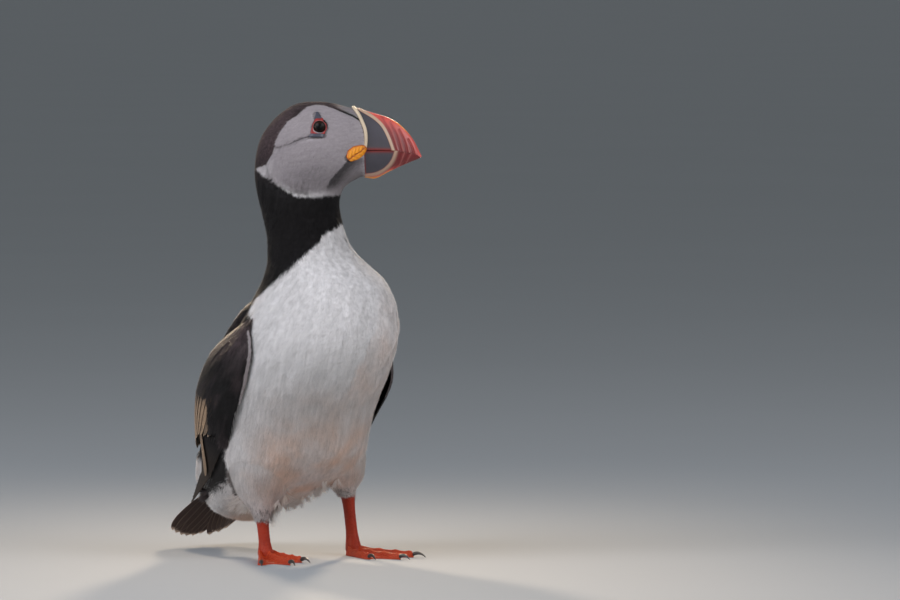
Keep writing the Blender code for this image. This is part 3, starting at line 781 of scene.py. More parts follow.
def facePlace(forward, up):
    # station and angle of the place on the head's side at (forward, up) in its own plane, by Newton's steps
    t = np.full(np.shape(forward), 13.0)
    share = np.full(np.shape(forward), 0.5)
    for _ in range(20):
        row, ahead = smooth(stationTable, t), smooth(stationTable, t + 0.01)
        across = row[..., 2:4] - row[..., 0:2]
        place = row[..., 0:2] + across * share[..., None]
        along = (ahead[..., 0:2] + (ahead[..., 2:4] - ahead[..., 0:2]) * share[..., None] - place) / 0.01
        miss = np.stack([forward, up], -1) - place
        area = along[..., 0] * across[..., 1] - along[..., 1] * across[..., 0]
        t = t + (miss[..., 0] * across[..., 1] - miss[..., 1] * across[..., 0]) / area
        share = share + (along[..., 0] * miss[..., 1] - along[..., 1] * miss[..., 0]) / area
    bend = 4 * (smooth(stationTable, t)[..., 6] - 0.5)
    root = np.sqrt((1 + bend) ** 2 - 4 * bend * share)
    return t, np.arccos(np.clip(1 - 4 * share / (1 + bend + root), -1, 1))


def bareAt(forward, up):
    # true on the bare eye ring, its plates and the rosette
    eye = headPatches["eye"]
    bare = np.hypot(forward - eye[0], up - eye[1]) < headPatches["bareRadius"]
    for start, end, reach in headPatches["bareLines"]:
        bare = bare | (lineDistance(forward, up, [start, end], 12)[0] < reach)
    return bare


# coat of the head, neck and trunk

coatShape = {
    "tipDepth": 0.22,  # how far the feather tips lie inside the solids
    # each piece's tufts, and the stations between which they grow
    "tufts": {
        "coatBreast": (13500, 5.0, 7.2), "coatThroat": (10000, 7.2, 9.2), "coatBelly": (12500, 2.3, 5.0),
        "coatVent": (8500, 0.1, 2.3), "coatBack": (10500, 0.0, 7.2), "coatTail": (1700, 0.15, 1.3),
        "coatNeck": (12000, 9.2, 10.6), "coatSeam": (600, 0.4, 3.2), "coatFringe": (210, 1.3, 2.4),
        "coatNape": (19500, 10.4, 11.6), "coatCheeks": (19500, 11.5, 12.8), "coatLores": (19500, 12.7, 14.02),
    },
}
atLength = lambda t: alongTable(coatLength, t)


def bodyOptions(lengthen=1.0, width=0.62, **more):
    return {
        "length": lambda t, angle: atLength(t) * lengthen,
        "width": width,
        "base": lambda t, angle: -depthAt(t) * 0.9,
        "tip": -coatShape["tipDepth"],
        "flow": lambda t, angle: 0.10 * np.sign(angle) * np.sin(angle) ** 2 + 0.16 * ripple(t * 0.9, angle * 2, 21),
        "marks": bodyMarks,
        "fuzz": 0.14,
        "sway": lambda t, angle: 0.17 * ripple(t * 0.5, angle * 6, 33) + 0.13 * ripple(t * 0.9, angle * 15, 34),
        "tone": lambda t, angle: 0.5 + 0.13 * ripple(t * 0.5, angle * 9, 31) + 0.20 * ripple(t * 0.9, angle * 19, 32),
        **more,
    }


def outsideWing(t, angle):
    # keeps roots clear of the folded wings, apart from a narrow lap under their edges
    keep = 1.0
    for side in (1, -1):
        share = shareOfWing(t, angle, side)
        keep = keep * (1 - (share > 0.1) * (share < 0.86) * (t > 2.8) * (t < 5.8))
    return keep


def frontOfBody(t, angle):
    return outsideWing(t, angle) * (np.abs(angle) > 0.95 - 0.25 * step(7, 8, t))


def underBelly(t, angle):
    # in ragged groups between the legs and beside them
    turn = np.degrees(np.abs(angle))
    return step(-0.05, 0.3, ripple(t * 2.8, angle * 9, 71)) * step(124, 132, turn) * step(168, 156, turn)


def behindThigh(t, angle):
    # painted shadow: the dark line where the flank passes behind the thigh
    near = 0.0
    for side in (1, -1):
        reach, fore = thighReach(bodyPoint(t, angle, 1.0), side)
        near = near + bell(reach - 1.2, 0.6) * step(-0.25, -0.5, fore)
    return near * (np.abs(angle) > 1.6)


def offPatches(t, angle):
    # keeps roots, middles and tips off the bare skin of the face
    unitA = surfaceFrame(bodyPoint, t, angle)[0]
    clear = np.ones(np.shape(t))
    for share in (0.0, 0.5, 1.0):
        forward, _, up = headPlace(bodyPoint(t - share * atLength(t) / unitA, angle))
        clear = clear * ~bareAt(forward, up)
    return clear * (t < 14.02)


def buildBodyCoat():
    pieces = []
    own = lambda t, angle: (t, angle)

    def add(name, options, keep=1.0, angles=(-math.pi, math.pi)):
        count, low, high = coatShape["tufts"][name]
        a, b = scatter(bodyPoint, count, (low, high), angles, keep)
        pieces.append(buildTufts(name, bodyCoat, a, b, own, options))

    add("coatBreast", bodyOptions(width=0.62, blades=4, spread=0.15), frontOfBody)
    add("coatThroat", bodyOptions(width=0.55, blades=4, spread=0.14))
    add("coatBelly", bodyOptions(width=0.66, blades=4, spread=0.15, lengthen=1.15), frontOfBody)
    add("coatVent", bodyOptions(width=0.72, blades=4, fuzz=lambda t, angle: 0.3 + 0.5 * step(1.2, 0.7, t), stray=0.14,
                                lengthen=1.1), lambda t, angle: (np.abs(angle) > 0.75) * 1.0)
    add("coatBack", bodyOptions(width=0.85), lambda t, angle: outsideWing(t, angle) * (np.abs(angle) < 1.1),
        (-1.1, 1.1))
    # the black coverts that lap over the tail's root, with a little painted brown sheen
    add("coatTail", bodyOptions(
        length=15.0, width=1.0, blades=3, spread=0.1, fuzz=0.4, marks=plainMarks(1.0, 0.0, 0.25),
        tip=lambda t, angle: 0.8 + 3.4 * step(0.6, 1.1, np.abs(angle))), angles=(-1.45, 1.45))
    add("coatNeck", bodyOptions(width=0.5, blades=3, spread=0.16))
    # a line of dark tufts paints the shadow where the flank passes behind the thigh
    add("coatSeam", bodyOptions(width=0.5, blades=2, spread=0.05, stray=0.08, fuzz=0.1, lengthen=0.5,
                                marks=plainMarks(0.85, 0.0, 0.4), tip=0.9), behindThigh)
    # painted glow: the fringe's warm mark and high tone stand for light shining through it from behind
    add("coatFringe", bodyOptions(width=0.55, blades=8, spread=0.035, stray=0.35, fuzz=1.6, lengthen=0.95,
                                  marks=plainMarks(0.0, 0.0, 0.45), tip=5.2, tone=0.98, nod=0.6), underBelly)
    headOptions = bodyOptions(width=0.36, blades=2, spread=0.14, fuzz=0.06, stray=0.1, tilt=0.08,
                              flow=lambda t, angle: 0.16 * np.sign(angle) * np.sin(angle) ** 2
                              + 0.12 * ripple(t * 1.5, angle * 2, 22),
                              sway=lambda t, angle: 0.05 * ripple(t * 2.0, angle * 14, 35),
                              tone=lambda t, angle: 0.5 + 0.25 * ripple(t * 2.2, angle * 16, 36))
    for name in ("coatNape", "coatCheeks", "coatLores"):
        add(name, headOptions, offPatches)
    return pieces


def buildThighCoat():
    pieces = []
    for side, name in ((1, "coatThighL"), (-1, "coatThighR")):
        outside = thighOutside(side)
        surface = thighCoat(side, outside)
        # nearest place of the belly's underside for each root, on a coarse net of it
        netT, netAngle = np.meshgrid(np.linspace(0.5, 4.5, 60), np.linspace(1.9, 3.14, 50) * -side, indexing="ij")
        net = bodyPoint(netT, netAngle).reshape(-1, 3)

        def place(along, around):
            root = surface(along, around)
            nearest = np.hypot(root[:, None, 0] - net[None, :, 0], root[:, None, 1] - net[None, :, 1]).argmin(1)
            return netT.ravel()[nearest], netAngle.ravel()[nearest]

        above = lambda a, b: (readGrid(outside, a, b / (2 * math.pi)) > -3.5) * (1 + 1.6 * step(0.3, 0.0, a))
        a, b = scatter(surface, thighs["tufts"], (0.02, 1.0), (0, 2 * math.pi), above)
        tall = thighs["hip"][2] - thighs["end"][side][2]
        inner = lambda b: step(0.2, 0.9, -side * np.cos(b))
        # where the thigh comes out of the belly it is coloured and shaded as one with it
        merge = lambda a, b: 0.85 * step(13.0, 3.0, readGrid(outside, a, (b / (2 * math.pi)) % 1))[:, None]

        def facing(a, b):
            own = surfaceFrame(surface, a, b)[2]
            return own + merge(a, b) * (surfaceFrame(bodyPoint, *place(a, b))[2] - own)

        def marks(t, angle, a, b):
            # painted shadow: a few dark streaks above the leg; the inner side is painted warm, as if lit through from
            # behind
            streak = 0.72 * (rng.uniform(size=len(a)) < 0.2) * step(0.5, 0.2, a) * step(-0.4, 0.1, np.sin(b))
            leg = np.stack([0.05 + 0 * a, 0 * a, 0.15 + 0.5 * inner(b)], -1)
            leg = leg + merge(a, b) * (bodyMarks(t, angle, a, b) - leg)
            return np.stack([np.maximum(streak, leg[:, 0]), leg[:, 1], leg[:, 2]], -1)

        options = {
            "length": lambda a, b: np.clip(a * tall + 2.5, 4.5, 10.5),
            "width": 0.6,
            "base": lambda a, b: -2.3 + 1.1 * step(0.4, 0.0, a),
            "tip": lambda a, b: -0.3 + (0.1 + 1.5 * inner(b)) * step(0.35, 0.0, a),
            "marks": marks,
            "facing": facing,
            "blades": 4,
            "fuzz": lambda a, b: 0.35 + (0.5 + 0.9 * inner(b)) * step(0.3, 0.0, a),
            "stray": 0.18,
            "sway": lambda a, b: 0.3 * ripple(a * 1.5, b * 5, 42),
            "tone": lambda a, b: 0.5 + 0.35 * ripple(a * 1.5, b * 5, 41),
        }
        pieces.append(buildTufts(name, surface, a, b, place, options))
        if side > 0:
            continue
        # loose tufts hang beside the end of the right thigh, painted warm and pale as if lit through from behind
        beside = lambda a, b: inner(b) * step(-0.9, 0.0, np.sin(b))
        a, b = scatter(surface, thighs["looseTufts"], (0.02, 0.32), (0, 2 * math.pi), beside)
        del options["facing"]
        options.update(length=8.5, base=-1.5, tip=5.0, blades=8, spread=0.035, stray=0.3, fuzz=1.6,
                       marks=plainMarks(0.0, 0.0, 0.45), tone=0.98)
        pieces.append(buildTufts("coatLooseR", surface, a, b, place, options))
    return pieces


# wings

wingCoat = {
    "coverts": (6500, 7.5, 0.75),  # tufts on each wing, their length and width
    "edgeTufts": 850,
    "scapulars": 2600,
    "secondaries": 15,
    "primaries": 9,
}

# the scapular fold over the wing's upper edge: station, angle of its edges from the dorsal line, thickness
scapularRows = [(3.75, 24, 31, 0.3), (4.1, 23, 40, 1.0), (4.5, 23, 46, 1.8), (4.8, 24, 48, 3.0), (5.0, 25, 47, 4.2),
                (5.4, 27, 46, 5.0), (5.7, 29, 46.5, 4.2), (5.95, 31, 49, 3.0), (6.2, 35, 53, 1.6),
                (6.45, 40, 58, 0.3)]


def scapularFold(side):
    # The fold's surface, and the body's station and angle at each of its places. It lies on the wing's own
    # height near its trailing edge; it swells over its first half and ends steeply, as 1 - share^8.
    table = np.array(scapularRows)

    def turnAt(at, share):
        low, high = (np.interp(at, table[:, 0], table[:, k]) for k in (1, 2))
        return low + (high - low) * share

    def point(at, share, grow=0.0):
        turn = turnAt(at, share)
        trailing, leading = wingEdges(at)
        onWing = (turn - trailing) / (leading - trailing)
        under = wingBulge(at, np.clip(onWing, 0, 1), side)[0] * step(-0.05, 0.12, onWing) * step(6.1, 5.6, at)
        thick = np.interp(at, table[:, 0], table[:, 3])
        pad = thick * step(0, 0.45, share) * (1 - np.clip(share, 0, 1) ** 8)
        return bodyPoint(at, side * np.radians(turn), under + pad + grow)

    return point, lambda at, share: (at, side * np.radians(turnAt(at, share)))


def wingPlace(side):
    return lambda at, share: (at, wingAngle(at, share, side))


def buildWingCoat():
    pieces = []
    for side, end in ((1, "R"), (-1, "L")):
        surface, place = wingPoint(side), wingPlace(side)
        count, length, width = wingCoat["coverts"]
        keep = lambda at, share: (at > 3.15 + 0.35 * step(0.95, 0.85, share) + 0.75 * step(0.82, 0.70, share)) * 1.0
        a, b = scatter(surface, count, (3.1, 6.05), (0.03, 0.97), keep)
        pieces.append(buildTufts("coatWing" + end, surface, a, b, place, {
            "length": lambda a, b: length * (1 - 0.35 * step(4.8, 5.8, a)),
            "width": lambda a, b: width * (1 - 0.3 * step(4.8, 5.8, a)),
            "base": -1.6,
            "tip": -0.12,
            "flow": lambda a, b: 0.12 * step(0.5, 0.9, b) - 0.12 * step(0.4, 0.0, b),
            # the warm share is a painted brown sheen on the black coverts: towards the shoulder, along the trailing
            # edge and in streaks
            "marks": lambda t, angle, a, b: np.stack([
                1.0 + 0 * t, 0 * t,
                np.clip(0.55 * step(4.9, 5.6, a) + 0.45 * step(0.45, 0.1, b) * step(3.6, 4.6, a)
                        + 0.35 * np.clip(ripple(a * 0.9, b * 11, 44), 0, 1), 0, 1)], -1),
            "tone": lambda a, b: 0.5 + 0.3 * ripple(a * 1.0, b * 11, 43),
            "sway": lambda a, b: 0.25 * ripple(a * 1.0, b * 9, 45),
            "fuzz": 0.10,
            "spread": 0.12,
        }))
        keep = lambda a, b: (b > 0.998 - 0.010 * step(3.9, 5.1, a)) * 1.0
        a, b = scatter(surface, wingCoat["edgeTufts"], (4.1, 5.8), (0.988, 0.998), keep)
        pieces.append(buildTufts("coatWingEdge" + end, surface, a, b, place, {
            "length": 2.2,
            "width": 0.3,
            "base": -0.5,
            "tip": 0.02,
            "marks": plainMarks(0.42 if side > 0 else 0.9, 0.8, 0.6),
            "fuzz": 0.10,
            "spread": 0.12,
            "stray": 0.10,
        }))
        surface, place = scapularFold(side)
        a, b = scatter(surface, wingCoat["scapulars"], (4.0, 6.45), (0.0, 1.0), 1.0)
        pieces.append(buildTufts("coatScapular" + end, surface, a, b, place, {
            "length": lambda a, b: 12.0 - 4.0 * step(5.4, 6.2, a),
            "width": 0.9,
            "base": -1.8,
            "tip": 0.0,
            # the warm share is a painted brown sheen on the black fold
            "marks": lambda t, angle, a, b: np.stack([
                1.0 + 0 * t, 0 * t, np.clip(0.12 + 0.3 * ripple(a * 0.8, b * 2.5, 47), 0, 1)], -1),
            "sway": lambda a, b: 0.25 * ripple(a * 0.8, b * 3, 46),
            "fuzz": 0.2,
            "spread": 0.10,
        }))
    return pieces


def flightFeathers(name, surface, roots, tips, widths, heights, tilt, bow, warm, place=None, rows=22, columns=9,
                   thick=0.22, ragged=0.0, blunt=9.0):
    # Whole feathers as closed thin vanes. Each runs straight in the surface's own coordinates from its root to
    # its tip, with a bow of sin(pi s); its half width is full over the middle, (1 - s^blunt)^0.55 at the end; it
    # is raised at one edge by the tilt, so that it laps over the next, and along its shaft by a low ridge.
    roots, tips = np.array(roots, float), np.array(tips, float)
    s = np.linspace(0, 1, rows)[None, :, None]
    c = np.linspace(-1, 1, columns)[None, None, :]
    a = roots[:, 0, None, None] + (tips[:, 0] - roots[:, 0])[:, None, None] * s
    b = roots[:, 1, None, None] + (tips[:, 1] - roots[:, 1])[:, None, None] * s
    b = b + np.array(bow, float)[:, None, None] * np.sin(np.pi * s)
    unitB = surfaceFrame(surface, a, b)[1]
    half = np.array(widths, float)[:, None, None] / 2 * np.clip(0.4 + 2.5 * s, 0, 1) * (1 - s**blunt) ** 0.55
    half = np.maximum(half, 0.03)
    unitA = surfaceFrame(surface, a, b)[0]
    chance = np.random.default_rng(len(name) + 3)
    notch = chance.uniform(0, ragged, (len(roots), 1, columns)) * (s > 0.98)
    ownA = a + notch / unitA + 0 * c
    ownB = b + c * half / unitB
    rise = np.array(heights, float)[:, None, None] + np.array(tilt, float)[:, None, None] * c
    rise = rise + 0.18 * bell(c, 0.16) - 0.25 * c**2
    outer = surface(ownA, ownB, rise)
    inner = surface(ownA, ownB, rise - thick * (1 - 0.6 * np.abs(c)))
    count, cells = len(roots), rows * columns
    points = np.concatenate([outer.reshape(count, cells, 3), inner.reshape(count, cells, 3)], 1)
    template = sheetFaces(rows, columns)
    faces = (template + (np.arange(count) * 2 * cells)[:, None, None]).reshape(-1, 4)
    obj, corners = makeMesh(name, points.reshape(-1, 3), faces)
    facesOut(obj)
    lie = fourShares(s, c * 0.5 + 0.5, chance.uniform(0, 1, (count, 1, 1)), 1.0).reshape(count, cells, 4)
    setColour(obj, "lie", np.concatenate([lie, lie], 1))
    warmth = np.array(warm, float)[:, None, None]
    marks = fourShares(1.0, 0.0, warmth + 0 * (s + c), 0.0).reshape(count, cells, 4)
    setColour(obj, "marks", np.concatenate([marks, marks], 1))
    if place is not None:
        patch = np.stack([(c - 0 * s) * 0.5, s + 0 * c - 0.5], -1).reshape(1, cells, 2) * tuft["uvPatch"]
        uv = unwrap(*place(roots[:, 0], roots[:, 1]))[:, None, :] + patch
        setUv(obj, "OFBake", np.concatenate([uv, uv], 1).reshape(-1, 2), corners)
    print(name, count, "feathers,", len(faces) * 2, "triangles")
    return obj


def wingTipPoint(side):
    # the wing's surface, which leaves the narrowing rump and runs on straight beside it to the tail's root
    surface = wingPoint(side)
    leaves, ahead = wingShape["leaves"], np.array(wingShape["onward"]) * (side, 1, 1)
    return lambda at, share, grow=0.0: (surface(np.maximum(at, leaves), share, grow)
                                        + np.clip(leaves - at, 0, None)[..., None] * ahead)


def buildWings():
    pieces, primaries = [], {}
    for side, end in ((1, "R"), (-1, "L")):
        surface, place = wingPoint(side), wingPlace(side)
        i = np.linspace(0, 1, wingCoat["secondaries"])
        roots = np.stack([4.4 + 0 * i, 0.05 + 0.8 * i], -1)
        tips = np.stack([2.62 - 0.10 * np.sin(3 * i) + 0.55 * step(0.45, 0.85, i), 0.05 + 0.74 * i], -1)
        # the ends are worn brown, painted paler as if lit through from behind
        warm = np.maximum(0.3 * step(0.45, 0.1, i), step(0.22, 0.34, i) * step(1.0, 0.86, i))
        # one long brown feather shows between the secondaries' ends and the primaries
        roots = np.concatenate([roots, [(3.7, 0.60)]])
        tips = np.concatenate([tips, [(1.9, 0.84)]])
        pieces.append(flightFeathers(
            "secondaries" + end, surface, roots, tips, widths=np.append(3.6 + 3.0 * i, 4.4),
            heights=np.append(-0.35 - 0.5 * i, -0.9), tilt=np.append(0.3 + 0 * i, 0.1), bow=np.append(0.02 * i, 0),
            warm=np.append(warm, 0.9), place=place, ragged=2.2))
        i = np.linspace(0, 1, wingCoat["primaries"])
        roots = np.stack([3.2 + 0 * i, 0.93 - 0.20 * i], -1)
        tips = np.stack([0.30 + 1.3 * i**0.8, 0.63 - 0.03 * i], -1)
        primaries[end] = flightFeathers(
            "primaries" + end, wingTipPoint(side), roots, tips, widths=5.8 - 1.4 * i, heights=-2.4 + 0.5 * i,
            tilt=0.15 + 0 * i, bow=0.02 * (1 - i), warm=0.10 + 0 * i, place=place)
    return pieces, primaries


# tail

tail = {
    "root": (-85.5, 27.5),  # forward, up
    "tip": (-109.0, 7.2),
    "tipAt": 0.9,  # share of the fan's way at which that is
    "halfWidths": (11.0, 21.0),  # at its root and its end
    "thick": (3.2, 1.0),
    "roll": 1.0,  # degrees
    "curl": 0.013,  # how much the fan's two edges turn up, by the square of the distance from its middle
    # the feathers from the bird's right to its left: where each ends across the fan and along it
    "ends": [(-0.90, 0.93), (-0.75, 0.965), (-0.57, 0.985), (-0.41, 0.985), (-0.22, 0.97), (-0.02, 0.93),
             (0.30, 0.985), (0.42, 0.93), (0.58, 0.98), (0.68, 0.93), (0.80, 0.95), (0.90, 0.89)],
}


def tailPoint(way, share, grow=0.0):
    # a fan from root to tip, whose edges turn up by the square of the distance from its middle, rolled a little
    root, tip, wide = tail["root"], tail["tip"], tail["halfWidths"]
    way = -way
    left = share * (wide[0] + (wide[1] - wide[0]) * way)
    forward = root[0] + (tip[0] - root[0]) * way / tail["tipAt"]
    up = root[1] + (tip[1] - root[1]) * way / tail["tipAt"]
    up = up + tail["curl"] * left**2 * way + left * math.tan(math.radians(tail["roll"])) * way
    half = (tail["thick"][0] + (tail["thick"][1] - tail["thick"][0]) * way) / 2
    return np.stack([left, forward, up + half + grow], -1)


def buildTail():
    i, ends = np.array(tail["ends"]).T
    order = np.abs(i)
    roots = np.stack([0.35 * order**2 - 0.02, i * (0.6 + 1.25 * order**2)], -1)
    return flightFeathers("tailFeathers", tailPoint, roots, np.stack([-ends, i], -1), widths=9.0 + 0 * i,
                          heights=-0.15 - 1.1 * order, tilt=-0.12 * np.sign(i), bow=0 * i, warm=0.55 + 0 * i,
                          rows=26, columns=11, thick=0.3, blunt=5.0)


# bill

bill = {
    # base to tip: ridge, gape and lower edge (forward of the neck axis, up), and half width at the gape
    "rows": [
        (33.2, 243.3, 36.0, 221.6, 35.2, 206.0, 7.6), (37.0, 242.0, 50.0, 221.2, 40.5, 206.1, 6.0),
        (46.5, 239.0, 54.3, 220.7, 48.0, 209.8, 4.8), (53.5, 235.0, 57.8, 220.0, 54.5, 212.8, 3.8),
        (60.2, 227.8, 61.5, 219.3, 60.5, 215.4, 2.5), (65.2, 218.2, 65.0, 217.3, 64.6, 216.8, 0.9),
    ],
    "lowerBase": (33.5, 221.2, 35.2, 206.3),  # the lower half's own gape and lower edge at its base
    "widthShare": (0.985, 0.93),  # of that half width, for the upper and the lower half
    "halfGap": 0.02,  # from the gape to each half
    # front edge of the slate triangle on the upper bill, and of the slate patch on the lower one
    "slateUpper": [(31.6, 242.9), (39.0, 238.4), (43.6, 234.1), (46.8, 228.3), (49.3, 221.4)],
    "slateLower": [(51.0, 221.5), (50.4, 219.0), (49.2, 216.0), (47.0, 213.0), (44.0, 210.6), (40.0, 208.9),
                   (35.0, 208.2)],
    "creamWidth": 1.5,
    "highlightSide": 1,  # a painted highlight line lies ahead of each groove
    "groovesUpper": [[(43.8, 239.4), (48.0, 231.5), (51.6, 221.0)], [(48.4, 236.6), (51.6, 229.5), (54.4, 220.3)],
                     [(53.2, 232.4), (55.8, 226.5), (57.6, 219.9)], [(58.2, 227.0), (60.0, 223.2), (61.2, 219.4)]],
    "groovesLower": [[(54.6, 219.6), (52.8, 214.8), (50.0, 211.0)], [(58.2, 219.2), (56.6, 216.2), (55.2, 213.6)]],
    "creamProud": 0.22,
    "slateSunk": 0.10,
    "grooveDepth": 0.55,
    "grooveWidth": 0.6,
    "creamLine": [(28.6, 244.4), (31.2, 240.9), (33.4, 236.4), (34.9, 232.2), (35.3, 227.6), (34.9, 222.2)],
    "creamHalf": 0.95,
}


def billSection(far, near, halfWidth, share):
    # one half of the bill: level goes from the far edge to the gape as |share| to the 1.25, and the width as
    # sin(pi/2 |share|) to the 0.85
    level = far[:, None] + (near - far)[:, None] * (np.abs(share)[:, None] ** 1.25)
    left = halfWidth[:, None] * np.sign(share) * np.sin(np.pi / 2 * np.abs(share)) ** 0.85
    return level[..., 0], left, level[..., 1]


def grooveAt(forward, up, grooves):
    # 1 in the middle of each groove, falling off as a bell over its width
    deep = np.zeros(np.shape(forward))
    for groove in grooves:
        near, _ = lineDistance(forward, up, groove, 20)
        deep = np.maximum(deep, bell(near, bill["grooveWidth"]))
    return deep


def buildBillHalf(name, upper):
    at = np.linspace(-0.7 if upper else -0.1, 5, 140)
    table = np.array(bill["rows"], float)
    if not upper:
        table[0, 2:6] = bill["lowerBase"]
    rows = smooth(table, at)
    share = np.linspace(-1, 1, 121)
    gap = (0, bill["halfGap"] * (1 if upper else -1))
    far = rows[:, 0:2] if upper else rows[:, 4:6]
    wide = rows[:, 6] * bill["widthShare"][0 if upper else 1]
    forward, left, up = billSection(far, rows[:, 2:4] + gap, wide, share)
    if not upper:
        forward = forward - 0.5 * step(4.4, 5.0, at)[:, None]
    grooves = bill["groovesUpper" if upper else "groovesLower"]
    deep = grooveAt(forward, up, grooves)
    side = np.abs(share)[None, :]
    sunk = bill["grooveDepth"] * deep * step(0.05, 0.3, side) * np.minimum(1, np.abs(left) / 1.5)
    left = left - np.sign(left) * sunk
    edge = sideOf(forward, up, bill["slateUpper" if upper else "slateLower"])
    # the cream chevron stands a little proud, and the slate behind it lies a little lower
    soft = 1.0 if upper else 3.0
    cream = step(bill["creamWidth"] + 0.3 * soft, bill["creamWidth"] - 0.3 * soft, edge)
    cream = step(-0.25 * soft, 0.1, edge) * cream
    slate = step(0.15, -0.35 * soft, edge)
    left = left + np.sign(left) * (bill["creamProud"] * cream - bill["slateSunk"] * slate) * step(0.0, 0.2, side)
    rim = np.hypot(forward - far[:, 0:1], up - far[:, 1:2])
    # painted light: a broad band under the ridge is brighter red and an orange glow runs along the ridge, as if lit
    # through from behind; the lower half glows along its lower edge
    if upper:
        glow = bell(rim, 1.7) * bell(forward - 54, 8.5) * (1 - slate)
        glow = np.maximum(glow, 0.35 * bell(rim, 1.2) * step(34, 44, forward))
        glow = np.maximum(glow, 0.5 * bell(rim, 6.5) * (1 - slate))
    else:
        glow = bell(rim, 2.0) * step(56, 46, forward)
    gape = np.exp(-(((1 - side) * np.abs(rows[:, 3:4] - far[:, 1:2]) / 0.9) ** 2)) * slate
    obj = closedTube(name, turned(forward, left, up, headTurn))
    tubeColour(obj, "marks", fourShares(slate, cream * (1.0 if upper else 0.8), glow, 0.0))
    if not upper:
        gape = np.maximum(gape, step(0.10, 0.02, at)[:, None])
    # a pale painted highlight runs just ahead of each groove
    grooveHighlight = np.zeros(deep.shape)
    for groove in grooves:
        ahead = sideOf(forward, up, groove)
        grooveHighlight = np.maximum(grooveHighlight, bell(np.abs(ahead) - 1.15, 0.38) * (ahead * bill["highlightSide"] > 0))
    tubeColour(obj, "lie", fourShares(deep * (1 - slate), gape, grooveHighlight * (1 - slate) * (1 - deep), 1.0))
    print(name, len(obj.data.polygons), "faces")
    return obj


def buildCreamRim():
    # a rounded ridge round the base of the upper bill: a flattened ring carried from one corner of the mouth,
    # over the top, to the other
    line = smooth(np.array(bill["creamLine"], float), np.linspace(0, 5, 90))
    line = np.concatenate([line[::-1], line[1:]])
    hand = np.concatenate([-np.ones(90), np.ones(89)])
    down = (line[:, 1].max() - line[:, 1]) / np.ptp(line[:, 1])
    wide = 8.1 * np.sin(np.pi / 2 * np.clip(down, 0, 1) ** 0.62) ** 0.9
    along = np.linspace(0, 1, len(line))
    around = roundTo(28)
    middle = np.stack([line[:, 0], hand * wide, line[:, 1]], -1)
    tangent = np.gradient(middle, axis=0)
    tangent /= np.linalg.norm(tangent, axis=-1, keepdims=True)
    ahead = np.array((1.0, 0.0, 0.0)) - tangent * tangent[:, 0:1]
    ahead /= np.linalg.norm(ahead, axis=-1, keepdims=True)
    out = np.cross(tangent, ahead)
    beads = 1 + 0.05 * np.sin(along * 330)[:, None] * np.cos(around) ** 2
    end = np.clip(np.minimum(along, 1 - along) / 0.02, 0.15, 1)[:, None]
    half = bill["creamHalf"]
    rings = (middle[:, None] + ahead[:, None] * (half * end * np.cos(around) * beads)[..., None]
             + out[:, None] * (0.8 * end * np.sin(around))[..., None])
    obj = closedTube("creamRim", turned(rings[..., 0], rings[..., 1], rings[..., 2], headTurn))
    tubeColour(obj, "lie", fourShares(along[:, None], np.abs(np.cos(around)), 0.5, 1.0))
    return obj


# eyes, their ring and plates, and the rosettes


def headSide(forward, up, grow, side):
    # how far from the head's midline its side lies at (forward, up)
    t, angle = facePlace(forward, up)
    return headPlace(bodyPoint(t, -side * angle, grow))[1] * side


def buildEye(side, name):
    polar = np.linspace(0.001, math.pi - 0.001, 48)[:, None]
    around = roundTo(64)[None, :]
    radius = headPatches["ballRadius"] - 0.05
    forward = headPatches["eye"][0] + radius * np.sin(polar) * np.cos(around)
    up = headPatches["eye"][1] + radius * np.sin(polar) * np.sin(around)
    out = headPatches["ballLeft"] + radius * np.cos(polar) + 0 * around
    # the clear front bulges a little over the iris
    out = out + 0.18 * bell(polar, 0.42)
    obj = closedTube(name, turned(forward, side * out, up, headTurn))
    pupil, iris = step(0.44, 0.40, polar), step(0.84, 0.78, polar)
    tubeColour(obj, "marks", fourShares(pupil, iris, 0.5 + 0.5 * np.sin(around * 23), 0.0))
    return obj


def outlineReach(corners, around, soften):
    # how far a ray from the middle goes before it leaves a convex shape given by its corners, then smoothed round
    ray = np.stack([np.cos(around), np.sin(around)], -1)
    corners = np.array(corners, float)
    reach = np.full(len(around), 1e9)
    for start, end in zip(corners, np.roll(corners, -1, 0)):
        outward = np.array((end[1] - start[1], start[0] - end[0]))
        outward = outward * np.sign(start @ outward)
        facing = ray @ outward
        distance = (start @ outward) / np.maximum(facing, 1e-9)
        reach = np.where(facing > 1e-9, np.minimum(reach, distance), reach)
    kernel = bell(np.arange(-12, 13), soften)
    return np.convolve(np.concatenate([reach[-12:], reach, reach[:12]]), kernel / kernel.sum(), "valid")


